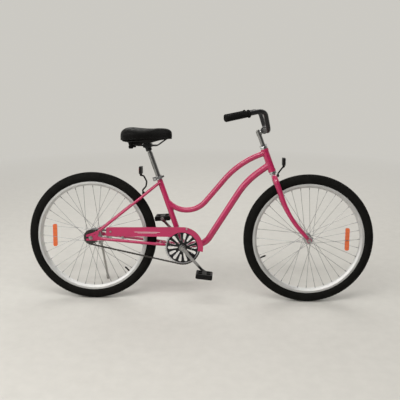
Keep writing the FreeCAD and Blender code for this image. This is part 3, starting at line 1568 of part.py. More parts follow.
# Headset and fork
def make_headset_cups():
    """The two cups pressed into the head tube."""
    bore = "steerer_radius + running_gap"
    press = "head_tube_bore - running_gap"
    rim = "head_collar_radius - cup_lip"
    lower = [
        (bore, "lower_stack / 2"),
        (rim, "lower_stack / 2"),
        (rim, "lower_stack - cup_lip"),
        ("head_collar_radius", "lower_stack - cup_lip"),
        ("head_collar_radius", "lower_stack - weld_gap"),
        (press, "lower_stack - weld_gap"),
        (press, "lower_stack + cup_insert"),
        (bore, "lower_stack + cup_insert"),
    ]
    upper = [
        (bore, "-cup_insert"),
        (press, "-cup_insert"),
        (press, "weld_gap"),
        ("head_collar_radius", "weld_gap"),
        ("head_collar_radius", "cup_lip"),
        (rim, "cup_lip"),
        (rim, "upper_stack / 3"),
        (bore, "upper_stack / 3"),
    ]
    cups = [
        turned("lower_cup", lower, seated(crown, steer_up)),
        turned("upper_cup", upper, seated(on_steerer(head_top), steer_up)),
    ]
    group("headset_cups", cups)


def make_headset_races():
    """The crown race, the adjustable race and the locknut, which turn with the fork."""
    bore = "steerer_radius + weld_gap"
    rim = "head_collar_radius - cup_lip"
    crown_race = [
        (bore, "0"),
        ("head_collar_radius", "0"),
        (rim, "lower_stack / 2 - moving_gap"),
        (bore, "lower_stack / 2 - moving_gap"),
    ]
    top_race = [
        (bore, "upper_stack / 3 + moving_gap"),
        (rim, "upper_stack / 3 + moving_gap"),
        (rim, "upper_stack / 2"),
        (rim + " - cup_lip", "upper_stack * 2 / 3 - weld_gap"),
        (bore, "upper_stack * 2 / 3 - weld_gap"),
    ]
    nut = doc.addObject("Part::Prism", "locknut")
    nut.Polygon = 6
    nut.setExpression("Circumradius", bound("head_collar_radius"))
    nut.setExpression("Height", bound("upper_stack / 3"))
    hole = doc.addObject("Part::Cylinder", "locknut_hole")
    hole.setExpression("Radius", bound(bore))
    hole.setExpression("Height", bound("upper_stack"))
    ring = doc.addObject("Part::Cut", "locknut_ring")
    ring.Base = nut
    ring.Tool = hole
    ring.Placement = seated(on_steerer(headset_top - size.upper_stack / 3), steer_up)
    races = [
        turned("crown_race", crown_race, seated(crown, steer_up)),
        turned("adjustable_race", top_race, seated(on_steerer(head_top), steer_up)),
        ring,
    ]
    group("headset_races", races)


def make_fork_steerer():
    foot = "-crown_drop - blade_radius"
    top = "lower_stack + head_tube_length + upper_stack - cup_lip"
    outline = [
        ("steerer_bore", foot),
        ("steerer_radius", foot),
        ("steerer_radius", top),
        ("steerer_bore", top),
    ]
    add_sub_part(turned("fork_steerer", outline, seated(crown, steer_up)), "fork_steerer")


def make_fork_blades():
    """Two tapered blades from the steerer, bent forward to slotted fork ends."""
    lean = math.radians(size.blade_forward_angle)
    bend_at = size.fork_length - size.fork_rake / math.tan(lean)
    down = (front_axle - on_steerer(-bend_at)).normalize()
    side = LATERAL * size.blade_offset
    points = [
        on_steerer(-size.crown_drop),
        on_steerer(-size.crown_drop) + side,
        on_steerer(-bend_at) + side,
        front_axle - down * size.blade_end_above_axle + side,
    ]
    bends = (size.blade_crown_bend, size.blade_forward_bend)
    blade = rod(points, bends, size.blade_radius, size.blade_tip_radius)
    room = size.fork_length
    corner = on_steerer(0, 0, size.weld_gap) - Vector(room, 0, room)
    half_space = Part.makeBox(2 * room, room, 2 * room, corner)
    steerer = bar(on_steerer(-room), on_steerer(head_top), gapped(size.steerer_radius))
    blade = blade.common(half_space).cut(steerer)
    across = LATERAL * size.fork_end_thickness
    face = front_axle + LATERAL * size.front_drop_half_width
    ahead = LATERAL.cross(down)
    tab_half = size.blade_tip_radius - size.tube_wall
    neck_top = face - down * (size.blade_end_above_axle + size.blade_tip_radius)
    edge = ahead * tab_half
    corners = [face - edge, face + edge, neck_top + edge, neck_top - edge]
    tip = Part.Face(Part.makePolygon(corners + corners[:1])).extrude(across)
    tip = tip.fuse(bar(face, face + across, size.fork_end_radius))
    slot_half = size.front_axle_radius + size.drop_slot_gap
    slot_end = face + down * 2 * size.fork_end_radius
    edge = ahead * slot_half
    corners = [face - edge, face + edge, slot_end + edge, slot_end - edge]
    slot = Part.Face(Part.makePolygon(corners + corners[:1])).extrude(across)
    tip = tip.cut(slot).cut(bar(face, face + across, slot_half))
    left = blade.fuse(tip).removeSplitter()
    add_sub_part(shaped("fork_blades", Part.makeCompound([left, mirror_shape(left)])), "fork_blades")


# Stem, handlebar and grips
bar_along = headset_top + size.stem_rise
bar_centre = on_steerer(bar_along, size.stem_reach)
quill_foot = headset_top - size.quill_depth
quill_top = bar_along - size.stem_bolt_head_height + size.stem_head_radius


def make_stem():
    """A quill in the steerer, with a neck to the clamp that holds the handlebar."""
    half = LATERAL * size.stem_clamp_half_width
    head_start = on_steerer(quill_top - 2 * size.stem_head_radius)
    form = bar(on_steerer(quill_foot), head_start, size.quill_radius)
    form = form.fuse(bar(head_start, on_steerer(quill_top), size.stem_head_radius))
    neck_foot = on_steerer(bar_along - size.stem_bolt_head_height)
    form = form.fuse(bar(neck_foot, bar_centre, size.stem_neck_radius))
    form = form.fuse(bar(bar_centre - half, bar_centre + half, size.stem_clamp_radius))
    form = form.cut(bar(bar_centre - half * 2, bar_centre + half * 2, gapped(size.bar_radius)))
    bolt_room = bar(on_steerer(quill_foot), on_steerer(bar_along * 2), gapped(size.stem_bolt_radius))
    form = form.cut(bolt_room).removeSplitter()
    add_sub_part(shaped("stem", form), "stem")


def make_stem_expander():
    """The long bolt down the quill, with the wedge that it draws up inside the steerer."""
    head_end = quill_top + size.stem_bolt_head_height
    wedge_top = quill_foot - size.weld_gap
    form = bar(on_steerer(wedge_top), on_steerer(quill_top), size.stem_bolt_radius)
    head_foot = on_steerer(quill_top + size.weld_gap)
    form = form.fuse(prism(6, head_foot, on_steerer(head_end), size.stem_bolt_head_radius))
    wedge = bar(on_steerer(wedge_top - size.wedge_length), on_steerer(wedge_top), size.quill_radius)
    head_root = bar(on_steerer(quill_top), on_steerer(head_end), size.stem_bolt_radius)
    add_sub_part(shaped("stem_expander", form.fuse([wedge, head_root]).removeSplitter()), "stem_expander")


def bar_points():
    """The left half of the handlebar's path, from the clamp outwards."""
    flat = bar_centre + LATERAL * size.stem_clamp_half_width * 2
    bottom = bar_centre + Vector(size.bar_bottom_forward, size.bar_bottom_half_width, 0)
    top = bar_centre + Vector(-size.bar_top_back, size.bar_top_half_width, size.bar_rise)
    end = bar_centre + Vector(-size.bar_end_back, size.bar_end_half_width, size.bar_rise - size.bar_end_drop)
    return [flat, bottom, top, end]


def across(spot):
    return Vector(spot.x, -spot.y, spot.z)


def make_handlebar():
    left = bar_points()
    points = [across(spot) for spot in reversed(left)] + left
    bends = (size.bar_upper_bend, size.bar_lower_bend, size.bar_flat_bend)
    form = tube(points, bends + bends[::-1], size.bar_radius)
    add_sub_part(shaped("handlebar", form), "handlebar")


def make_grip(label, end, inner):
    """A moulded grip with round ridges, a flange at its inner end and a closed outer end."""
    pitch = "((grip_length - 4 * grip_flange_length) / grip_ridge_count)"
    outline = [
        ("bar_radius + weld_gap", "grip_length"),
        ("grip_flange_radius", "grip_length"),
        ("grip_flange_radius", "grip_length - grip_flange_length"),
        ("grip_radius", "grip_length - 2 * grip_flange_length"),
    ]
    levels = (("grip_radius - grip_ridge", grip_valley_shares), ("grip_radius", grip_crest_shares))
    for index in range(int(size.grip_ridge_count) - 1, -1, -1):
        for radius, shares in levels:
            for share in shares:
                outline.append((radius, "2 * grip_flange_length + %s * %g" % (pitch, index + share)))
    outline += [
        ("grip_radius", "0"),
        ("grip_radius - grip_end_wall / 2", "-grip_end_wall"),
        ("0", "-grip_end_wall"),
        ("0", "-weld_gap"),
        ("bar_radius + weld_gap", "-weld_gap"),
    ]
    add_sub_part(turned(label, outline, seated(end, inner - end, UP)), label)


# Seat post and saddle
post_top = on_seat_tube(size.seat_tube_length + size.post_exposed)
rail_level = post_top.z + size.rail_height
saddle_rear = post_top.x - size.saddle_setback
saddle_low = post_top.z + size.saddle_lift


def make_seat_post():
    foot = "-post_depth"
    neck = "post_exposed - post_neck_length"
    outline = [
        ("post_bore", foot),
        ("post_radius", foot),
        ("post_radius", neck),
        ("post_neck_radius", "%s + post_radius - post_neck_radius" % neck),
        ("post_neck_radius", "post_exposed"),
        ("post_neck_radius - tube_wall", "post_exposed"),
        ("post_neck_radius - tube_wall", "%s + post_radius - post_neck_radius" % neck),
        ("post_bore", neck),
    ]
    place = seated(on_seat_tube(size.seat_tube_length), seat_up)
    add_sub_part(turned("seat_post", outline, place), "seat_post")


def saddle_stations():
    """Along, half width, crest and base of each cross-section of the saddle."""
    for along, wide, top, low in saddle_section_shares:
        yield (
            saddle_rear + along * size.saddle_length,
            wide * size.saddle_half_width,
            saddle_low + top * size.saddle_height,
            saddle_low + low * size.saddle_height,
        )


def saddle_padding():
    """A skin through cross-sections along the saddle: a flat base, upright sides and a rounded top."""
    rings = []
    for x, half, crest, base in saddle_stations():
        side = base + (crest - base) * saddle_side_share
        corners = [Vector(x, half, side), Vector(x, half * saddle_tuck_share, base)]
        corners += [across(spot) for spot in reversed(corners)]
        edges = [Part.LineSegment(*pair).toShape() for pair in zip(corners, corners[1:])]
        edges.append(Part.Arc(corners[-1], Vector(x, 0, crest), corners[0]).toShape())
        rings.append(Part.Wire(edges))
    return Part.makeLoft(rings, True, False)


def saddle_shell(padding):
    """The base under the padding, which follows its under face and hangs lower over the clamp."""
    rings = []
    for (x, half, crest, base), drop in zip(list(saddle_stations())[1:-1], base_drop_shares):
        wide = half * saddle_tuck_share - size.base_inset
        low = base - size.seat_gap - size.base_thickness - drop * size.base_drop
        high = base + (crest - base) * saddle_side_share
        corners = [Vector(x, wide, low), Vector(x, -wide, low), Vector(x, -wide, high), Vector(x, wide, high)]
        rings.append(Part.makePolygon(corners + corners[:1]))
    return Part.makeLoft(rings, True, False).cut(padding.translated(UP * -size.seat_gap))


def rail_rods(radius):
    """The two rails, from under the nose through the clamp to the rear of the base."""
    thick = size.base_thickness / 4
    rear_level = saddle_low - size.seat_gap - size.base_thickness
    nose = Vector(post_top.x + size.rail_nose_reach, size.rail_nose_half_spacing, nose_level() + thick)
    front = Vector(post_top.x + size.rail_straight / 2, size.rail_half_spacing, rail_level)
    back = Vector(post_top.x - size.rail_straight / 2, size.rail_half_spacing, rail_level)
    rear = Vector(post_top.x - size.rail_rear_reach, size.rail_rear_half_spacing, rear_level + thick)
    left = rod([nose, front, back, rear], (size.rail_bend, size.rail_bend), radius)
    return [left, mirror_shape(left)]


def nose_level():
    """The height of the base's under face where the rails meet its nose."""
    along = (size.saddle_setback + size.rail_nose_reach) / size.saddle_length
    for start, finish in zip(saddle_section_shares, saddle_section_shares[1:]):
        if start[0] <= along <= finish[0]:
            share = (along - start[0]) / (finish[0] - start[0])
            low = start[3] + (finish[3] - start[3]) * share
    return saddle_low + low * size.saddle_height - size.seat_gap - size.base_thickness


def make_saddle():
    """The padded cover, the moulded base under it and the two steel rails."""
    padding = saddle_padding()
    add_sub_part(shaped("saddle_cover", padding), "saddle_cover")
    add_sub_part(shaped("saddle_rails", Part.makeCompound(rail_rods(size.rail_radius))), "saddle_rails")
    base = saddle_shell(padding)
    for hole in rail_rods(gapped(size.rail_radius)):
        base = base.cut(hole)
    solid = max(base.Solids, key=lambda piece: piece.Volume)
    add_sub_part(shaped("saddle_base", solid), "saddle_base")


def make_saddle_bumpers():
    """Two waisted rubber springs under the wide rear of the base."""
    top = "0"
    outline = [
        ("0", "-bumper_height"),
        ("bumper_waist", "-bumper_height"),
        ("bumper_radius", "-bumper_height * 3 / 4"),
        ("bumper_waist", "-bumper_height / 2"),
        ("bumper_radius", "-bumper_height / 4"),
        ("bumper_radius", top),
        ("0", top),
    ]
    under = saddle_low - 3 * size.seat_gap - size.base_thickness
    spot = Vector(post_top.x - size.bumper_setback, size.bumper_half_spacing, under)
    left = turned("left_bumper", outline, Placement(spot, Rotation()))
    right = turned("right_bumper", outline, Placement(across(spot), Rotation()))
    group("saddle_bumpers", [left, right])


def make_saddle_clamp():
    """The block that holds the rails on top of the seat post, with its cross bolt and nuts."""
    length, half, height = size.saddle_clamp_length, size.saddle_clamp_half_width, size.saddle_clamp_height
    corner = Vector(post_top.x - length / 2, -half, rail_level - height / 2)
    form = Part.makeBox(length, 2 * half, height, corner)
    long_edges = [edge for edge in form.Edges if edge.Length > length + size.clamp_corner]
    form = form.makeFillet(size.clamp_corner, long_edges)
    boss = on_seat_tube(size.seat_tube_length + size.post_exposed - size.saddle_clamp_height)
    form = form.fuse(bar(boss, post_top, size.post_radius + size.strap_thickness * 2))
    neck = lengthened(boss, post_top, size.saddle_clamp_bolt_radius)
    form = form.cut(bar(*neck, gapped(size.post_neck_radius)))
    for rail in rail_rods(gapped(size.rail_radius)):
        form = form.cut(rail)
    centre = Vector(post_top.x, 0, rail_level - size.rail_radius * 2)
    nuts = []
    for side in (1, -1):
        face = centre + LATERAL * side * half
        nuts.append(prism(6, face, face + LATERAL * side * size.small_head_height * 2, size.nut_radius))
    solid = max(form.removeSplitter().Solids, key=lambda piece: piece.Volume)
    add_sub_part(shaped("saddle_clamp", Part.makeCompound([solid] + nuts)), "saddle_clamp")


# Seat clamp and its lever
ear_hole = size.collar_ear_reach - size.lever_eye_radius
collar_middle = size.seat_tube_length - size.collar_height / 2
lever_offset = size.collar_ear_half_width + size.lever_eye_radius + size.moving_gap
lever_pin = on_seat_tube(collar_middle, -ear_hole, -lever_offset)


def make_seat_clamp():
    """A split collar on the top of the seat tube, with the skewer across its ears and the lever's pin."""
    half_height = size.collar_height / 2
    low, high = on_seat_tube(collar_middle - half_height), on_seat_tube(collar_middle + half_height)
    collar = bar(low, high, size.collar_radius)
    place = seated(on_seat_tube(collar_middle), seat_up)
    reach, half = size.collar_ear_reach, size.collar_ear_half_width
    ears = Part.makeBox(reach, 2 * half, size.collar_height, Vector(-reach, -half, -half_height))
    corner = Vector(-reach * 2, -size.collar_slot / 2, -half_height)
    slot = Part.makeBox(reach * 2, size.collar_slot, size.collar_height, corner)
    ears.Placement = place
    slot.Placement = place
    form = collar.fuse(ears).cut(slot).cut(bar(low, high, gapped(size.seat_tube_radius)))
    left_face = on_seat_tube(collar_middle, -ear_hole, half)
    skewer = bar(left_face, lever_pin, size.skewer_radius)
    hole = bar(left_face + LATERAL * size.skewer_nut_length, lever_pin, size.skewer_radius + size.running_gap)
    form = form.cut(hole).removeSplitter()
    nut_end = left_face + LATERAL * size.skewer_nut_length
    nut = bar(left_face + LATERAL * size.seat_gap, nut_end, size.skewer_nut_radius)
    stub = bar(left_face, left_face + LATERAL * size.skewer_nut_length, size.skewer_radius)
    pin_half = seat_up * size.lever_height / 2
    pin = bar(lever_pin - pin_half, lever_pin + pin_half, size.lever_pin_radius)
    add_sub_part(shaped("seat_clamp", Part.makeCompound([form, skewer.fuse([nut, stub, pin])])), "seat_clamp")


def make_seat_clamp_lever():
    """The cam lever: a forked eye on the pin and an arm that wraps round the collar's right side."""
    place = seated(lever_pin - seat_up * size.lever_height / 2, seat_up)
    thick = size.lever_thickness
    clear = size.collar_radius + size.seat_gap * 2 + lever_pin.y
    eye = size.lever_eye_radius
    corners = [
        Vector(eye / 2, -eye / 2, 0),
        Vector(eye * 2, -clear, 0),
        Vector(size.lever_length * 3 / 4, -clear, 0),
        Vector(size.lever_length, -clear + thick, 0),
        Vector(size.lever_length + thick / 2, -clear, 0),
        Vector(size.lever_length * 4 / 5, -clear - thick, 0),
        Vector(eye * 3 / 2, -clear - thick, 0),
        Vector(0, -eye, 0),
    ]
    arm = Part.Face(Part.makePolygon(corners + corners[:1])).extrude(UP * size.lever_height)
    form = arm.fuse(bar(UP * 0, UP * size.lever_height, eye))
    form = form.cut(bar(UP * 0, UP * size.lever_height, size.lever_pin_radius + size.running_gap))
    slot = (size.skewer_radius + size.moving_gap) * 2
    low = (size.lever_height - slot) / 2
    form = form.cut(bar(UP * low, UP * (low + slot), eye + size.moving_gap)).removeSplitter()
    add_sub_part(shaped("seat_clamp_lever", form), "seat_clamp_lever", place)


# Reflectors
def make_reflector(label, centre, facing):
    half_width = "reflector_width / 2"
    half_height = "reflector_height / 2"
    corner = "reflector_corner"
    outline = []
    for wide, up in ((1, -1), (1, 1), (-1, 1), (-1, -1)):
        x = "%d * %s" % (wide, half_width)
        y = "%d * %s" % (up, half_height)
        x_in = "%d * (%s - %s)" % (wide, half_width, corner)
        y_in = "%d * (%s - %s)" % (up, half_height, corner)
        pair = [(x_in, y), (x, y_in)] if wide * up < 0 else [(x, y_in), (x_in, y)]
        outline += [pair[0] + (corner,), pair[1]]
    place = seated(centre - facing * size.reflector_depth / 2, facing, LATERAL)
    add_sub_part(plate(label, outline, "reflector_depth", place), label)


rear_bridge = crossing(seat_stay_bend, seat_stay_end, size.seat_bridge_radius)
rear_bridge = Vector(rear_bridge.x, 0, rear_bridge.z)
stay_normal = LATERAL.cross(seat_stay_end - seat_stay_start).normalize()
rear_foot = rear_bridge + stay_normal * (size.bridge_radius + size.bracket_radius + size.seat_gap)
front_foot = on_steerer(-size.crown_drop, size.blade_radius + size.bracket_radius + size.seat_gap)


def make_bracket(label, foot, shares, centre, bolt_way):
    """A bent arm from its foot on the frame or the fork to the under side of a reflector, with its bolt."""
    points = [foot]
    for forward, up in shares:
        points.append(foot + Vector(forward * size.reflector_height, 0, up * size.reflector_height))
    under = centre - UP * (size.reflector_height / 2 + size.seat_gap)
    points += [under - UP * size.bracket_bend, under]
    arm = rod(points, (size.bracket_bend,) * (len(points) - 2), size.bracket_radius)
    half = bolt_way * size.bracket_radius
    pad_form = bar(foot - half, foot + half, size.bracket_radius * 2)
    top = foot + bolt_way * (size.bracket_radius + size.small_head_height)
    pad_form = pad_form.fuse(bar(foot, top, size.small_head_radius))
    add_sub_part(shaped(label, arm.fuse(pad_form).removeSplitter()), label)


# Stand
stay_run = (chain_stay_end - chain_stay_bend).normalize()
stand_pivot = rear_axle + Vector(size.stand_pivot_forward, size.stand_pivot_offset, -size.stand_pivot_down)
stand_tilt = math.radians(size.stand_pivot_tilt)
stand_axis = Vector(0, math.cos(stand_tilt), math.sin(stand_tilt))
stand_turn = math.radians(size.stand_splay)
stand_down = Vector(0, math.sin(stand_turn), -math.cos(stand_turn))


def make_kickstand_bracket():
    """A clamp on the left chain stay, with an arm to the tilted boss and the bolt that the leg turns on."""
    spot = crossing(chain_stay_bend, chain_stay_end, size.stand_clamp_forward)
    half = stay_run * size.stand_clamp_width / 2
    band_bore = gapped(size.chain_stay_radius)
    band = bar(spot - half, spot + half, band_bore + size.stand_plate_thickness)
    boss_end = stand_pivot - stand_axis * (size.stand_eye_length / 2 + size.moving_gap)
    boss = bar(boss_end - stand_axis * size.stand_boss_length, boss_end, size.stand_eye_radius)
    root = boss_end - stand_axis * size.stand_boss_length / 2
    start = spot + Vector(0, size.stand_plate_thickness, -size.stand_plate_thickness)
    arm = bar(start, root, size.stand_plate_thickness + size.strap_thickness)
    form = band.fuse([boss, arm]).cut(bar(*lengthened(spot - half, spot + half, size.cut_overrun), band_bore))
    far = stand_pivot + stand_axis * (size.stand_eye_length / 2 + size.moving_gap)
    pin = bar(root, far, size.stand_pin_radius)
    pin_head = bar(far, far + stand_axis * size.small_head_height, size.stand_pin_radius * 2)
    swing_end = far + stand_axis * size.stand_eye_length
    swing = bar(boss_end, swing_end, size.stand_eye_radius + 2 * size.moving_gap)
    form = form.cut(bar(root, boss_end, size.stand_pin_radius)).cut(swing)
    pieces = [max(form.Solids, key=lambda piece: piece.Volume), pin.fuse(pin_head)]
    add_sub_part(shaped("kickstand_bracket", Part.makeCompound(pieces)), "kickstand_bracket")


def ground_reach():
    """How far along the leg its foot ends, for its lowest edge to stand level with the leaning tyres."""
    lean = math.radians(size.lean_angle)
    tyre_low = size.tyre_half_width * (math.cos(lean) - 1)
    start = stand_pivot.z * math.cos(lean) - stand_pivot.y * math.sin(lean)
    fall = stand_down.y * math.sin(lean) - stand_down.z * math.cos(lean)
    edge = math.sqrt(1 - fall**2) * size.stand_foot_radius
    return (start - edge - tyre_low) / fall


def make_kickstand():
    """The leg with its eye on the pivot bolt and a rubber foot."""
    reach = ground_reach()
    foot_top = reach - size.stand_foot_length
    half = stand_axis * size.stand_eye_length / 2
    eye = bar(stand_pivot - half, stand_pivot + half, size.stand_eye_radius)
    leg = bar(stand_pivot, stand_pivot + stand_down * foot_top, size.stand_radius)
    foot = bar(stand_pivot + stand_down * foot_top, stand_pivot + stand_down * reach, size.stand_foot_radius)
    form = eye.fuse([leg, foot])
    bore = bar(stand_pivot - half * 2, stand_pivot + half * 2, size.stand_pin_radius + size.running_gap)
    add_sub_part(shaped("kickstand", form.cut(bore).removeSplitter()), "kickstand")


# Every sub-part, in its place on the upright bicycle
make_head_tube()
make_top_tube()
make_down_tube()
make_seat_tube()
make_bottom_bracket_shell()
make_chain_stays()
make_seat_stays()
make_rear_dropouts()
make_headset_cups()
make_bottom_bracket_cups()
make_tyre("front_tyre", front_axle)
make_tyre("rear_tyre", rear_axle)
make_inner_tube("front_inner_tube", front_axle, size.front_valve_angle)
make_inner_tube("rear_inner_tube", rear_axle, size.rear_valve_angle)
make_rim("front_rim", front_axle, size.front_valve_angle)
make_rim("rear_rim", rear_axle, size.rear_valve_angle)
front_flanges = (size.front_flange_offset, size.front_flange_offset)
rear_flanges = (size.rear_flange_right, size.rear_flange_left)
make_spokes("front_spokes", front_axle, size.front_hole_circle, front_flanges)
make_spokes("rear_spokes", rear_axle, size.rear_hole_circle, rear_flanges)
make_wheel_reflector(
    "front_wheel_reflector", front_axle, size.front_reflector_angle, size.front_hole_circle, front_flanges
)
make_wheel_reflector(
    "rear_wheel_reflector", rear_axle, size.rear_reflector_angle, size.rear_hole_circle, rear_flanges
)
make_front_hub()
make_rear_hub()
make_front_axle()
make_rear_axle()
make_brake_arm()
make_chain()
make_chainring()
make_rear_sprocket()
make_chainring_disc()
make_crank_spindle()
make_crank_bolts()
right_way = crank_direction()
make_crank("right_crank_arm", right_way, LATERAL * -1)
make_crank("left_crank_arm", right_way * -1, LATERAL)
right_pedal_place = pedal_place(right_way, LATERAL * -1, size.right_pedal_tilt)
left_pedal_place = pedal_place(right_way * -1, LATERAL, size.left_pedal_tilt)
make_pedal_spindles((right_pedal_place, left_pedal_place))
make_pedal("right_pedal", right_pedal_place)
make_pedal("left_pedal", left_pedal_place)
make_chain_guard()
make_chain_guard_fixings()
make_headset_races()
make_fork_steerer()
make_fork_blades()
make_stem()
make_stem_expander()
make_handlebar()
bar_end, bar_inner = bar_points()[3], bar_points()[2]
make_grip("left_grip", bar_end, bar_inner)
make_grip("right_grip", across(bar_end), across(bar_inner))
make_seat_post()
make_saddle()
make_saddle_bumpers()
make_saddle_clamp()
make_seat_clamp()
make_seat_clamp_lever()
rear_arm = Vector(-rear_reflector_shares[0], 0, rear_reflector_shares[1])
front_arm = Vector(front_reflector_shares[0], 0, front_reflector_shares[1])
rear_reflector_centre = rear_foot + rear_arm * size.reflector_height
front_reflector_centre = front_foot + front_arm * size.reflector_height
make_reflector("rear_reflector", rear_reflector_centre, FORWARD * -1)
make_reflector("front_reflector", front_reflector_centre, FORWARD)
make_bracket("rear_reflector_bracket", rear_foot, rear_bracket_shares, rear_reflector_centre, stay_normal)
make_bracket("front_reflector_bracket", front_foot, front_bracket_shares, front_reflector_centre, steer_forward)
make_kickstand_bracket()
make_kickstand()
doc.recompute()

# The bicycle leans on its stand, with its box's middle over the origin and its lowest point on the ground
upright = [(item, item.Placement) for item in sub_parts]
leaning = Placement(Vector(0, 0, 0), Rotation(FORWARD, -size.lean_angle))
boxes = FreeCAD.BoundBox()
for item, place in upright:
    item.Placement = leaning.multiply(place)
doc.recompute()
for item in sub_parts:
    boxes.add(item.Shape.optimalBoundingBox(False))
shift = Vector(-boxes.Center.x, -boxes.Center.y, -boxes.ZMin)
standing = Placement(shift, leaning.Rotation)
for item, place in upright:
    item.Placement = standing.multiply(place)
doc.recompute()

# Checks, then one file for each sub-part
for item in doc.Objects:
    if {"Invalid", "Error"} & set(item.State):
        raise RuntimeError("%s was not built: %s" % (item.Label, item.State))
os.makedirs("parts", exist_ok=True)
for item in sub_parts:
    if item.Shape.isNull() or not item.Shape.isValid():
        raise RuntimeError("%s has no sound shape" % item.Label)
    item.Shape.exportStep("parts/%s.step" % item.Label)
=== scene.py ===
"""Looks for a beach cruiser bicycle that leans on its stand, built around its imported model."""

import json
import math

import bmesh
import bpy
import numpy as np
from mathutils import Matrix, Vector


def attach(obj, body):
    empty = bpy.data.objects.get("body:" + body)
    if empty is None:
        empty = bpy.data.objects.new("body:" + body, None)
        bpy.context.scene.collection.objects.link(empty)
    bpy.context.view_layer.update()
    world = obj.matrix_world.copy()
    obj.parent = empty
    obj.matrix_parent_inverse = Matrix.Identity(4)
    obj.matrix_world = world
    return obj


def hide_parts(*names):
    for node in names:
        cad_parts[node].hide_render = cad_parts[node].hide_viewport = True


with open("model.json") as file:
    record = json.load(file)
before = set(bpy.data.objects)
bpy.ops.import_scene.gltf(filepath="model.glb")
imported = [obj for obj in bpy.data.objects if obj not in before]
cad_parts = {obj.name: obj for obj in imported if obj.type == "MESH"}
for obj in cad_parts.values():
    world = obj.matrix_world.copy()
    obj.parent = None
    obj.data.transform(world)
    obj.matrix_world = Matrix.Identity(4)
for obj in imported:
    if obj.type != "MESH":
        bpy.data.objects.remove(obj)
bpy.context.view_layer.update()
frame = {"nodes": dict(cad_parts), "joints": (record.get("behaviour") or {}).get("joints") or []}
nodes = frame["nodes"]

# The bicycle's own directions. It is drawn upright, in millimetres, and leans where it is placed.
MM = 0.001
pivots = {joint["name"]: joint for joint in frame["joints"]}
rear_axle = np.array(pivots["rear_wheel_spin"]["pos_m"])
front_axle = np.array(pivots["front_wheel_spin"]["pos_m"])
forward = np.array([1.0, 0.0, 0.0])
lateral = np.array(pivots["rear_wheel_spin"]["axis"])
lateral = lateral / np.linalg.norm(lateral) * np.sign(lateral[1])
upward = np.cross(forward, lateral)

# Sizes and places shared with the model's source, upright, in millimetres
HALF_WHEELBASE = 559.0
AXLE_HEIGHT = 333.5
CRANK = np.array([-87.86, 0.0, 288.0])
ACROSS = np.array([0.0, 1.0, 0.0])
LEVEL_UP = np.array([0.0, 0.0, 1.0])


def placed(points):
    """Points of the upright bicycle (x forward, y left, z up, mm) as metres on the leaning one: the rear
    axle's place plus each distance from it along the bicycle's own forward, left and up directions."""
    points = np.asarray(points, float) * MM
    run = points[..., 0:1] + HALF_WHEELBASE * MM
    rise = points[..., 2:3] - AXLE_HEIGHT * MM
    return rear_axle + run * forward + points[..., 1:2] * lateral + rise * upward


def upright(spots):
    """Places on the leaning bicycle (m) as places on the upright one (mm): the reverse of placed."""
    away = (np.asarray(spots) - rear_axle) / MM
    return np.stack([away @ forward - HALF_WHEELBASE, away @ lateral, away @ upward + AXLE_HEIGHT], -1)


# Meshes from grids

MERGE_WITHIN = 1e-6


def full_turn(count):
    """Angles at even steps round a full turn."""
    return np.linspace(0, 2 * math.pi, count, endpoint=False)


def ways(turn):
    """The direction in a plane at each angle: its cosine and its sine."""
    return np.stack([np.cos(turn), np.sin(turn)], -1)


def unit(vectors):
    """Each vector divided by its length."""
    vectors = np.asarray(vectors, float)
    return vectors / np.linalg.norm(vectors, axis=-1, keepdims=True)


def eased(value, first, last):
    """A smooth step from 0 at first to 1 at last: 3 t squared minus 2 t cubed."""
    share = np.clip((value - first) / (last - first), 0, 1)
    return share * share * (3 - 2 * share)


def grid_faces(rows, columns, round_rows, round_columns):
    """Quads of a grid of rows by columns, closed round in either direction where asked."""
    row = np.arange(rows if round_rows else rows - 1)
    column = np.arange(columns if round_columns else columns - 1)
    row, column = np.meshgrid(row, column, indexing="ij")
    next_row = (row + 1) % rows
    next_column = (column + 1) % columns
    corners = (row, column), (next_row, column), (next_row, next_column), (row, next_column)
    return np.stack([a * columns + b for a, b in corners], -1).reshape(-1, 4)


def repeated(faces, copies, points_each):
    """The faces of one form for a number of copies, whose points follow each other."""
    step = np.arange(copies)[:, None, None] * points_each
    return (faces[None] + step).reshape(-1, faces.shape[1])


def mesh_piece(name, points, faces, material, body):
    """A smooth-shaded piece from an array of points (upright, mm) and an array of quads, riding on a
    body. Points that meet at a pole or a seam are merged, and its faces point outwards."""
    mesh = bpy.data.meshes.new(name)
    points = placed(points).astype(np.float32).reshape(-1, 3)
    faces = np.asarray(faces, np.int32)
    mesh.vertices.add(len(points))
    mesh.vertices.foreach_set("co", points.ravel())
    mesh.loops.add(faces.size)
    mesh.loops.foreach_set("vertex_index", faces.ravel())
    mesh.polygons.add(len(faces))
    mesh.polygons.foreach_set("loop_start", np.arange(0, faces.size, faces.shape[1], dtype=np.int32))
    mesh.polygons.foreach_set("use_smooth", np.ones(len(faces), bool))
    mesh.update(calc_edges=True)
    closed = bmesh.new()
    closed.from_mesh(mesh)
    bmesh.ops.remove_doubles(closed, verts=closed.verts, dist=MERGE_WITHIN)
    bmesh.ops.recalc_face_normals(closed, faces=closed.faces)
    closed.to_mesh(mesh)
    closed.free()
    piece = bpy.data.objects.new(name, mesh)
    bpy.context.scene.collection.objects.link(piece)
    piece.data.materials.append(material)
    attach(piece, body)
    return piece


# Materials: each is a Principled shader with patterns read from Object coordinates, in metres

# Places of the colours among a Mix node's sockets
FIRST_COLOUR, SECOND_COLOUR, MIXED_COLOUR = 6, 7, 2
CORNER_SAMPLES = 4


def add(material, kind, inputs=None, **settings):
    """A node of a kind, with its settings, and each input set to a value or joined to an output."""
    made = material.node_tree.nodes.new(kind)
    for key, value in settings.items():
        setattr(made, key, value)
    for key, value in (inputs or {}).items():
        if isinstance(value, bpy.types.NodeSocket):
            material.node_tree.links.new(value, made.inputs[key])
        else:
            made.inputs[key].default_value = value
    return made


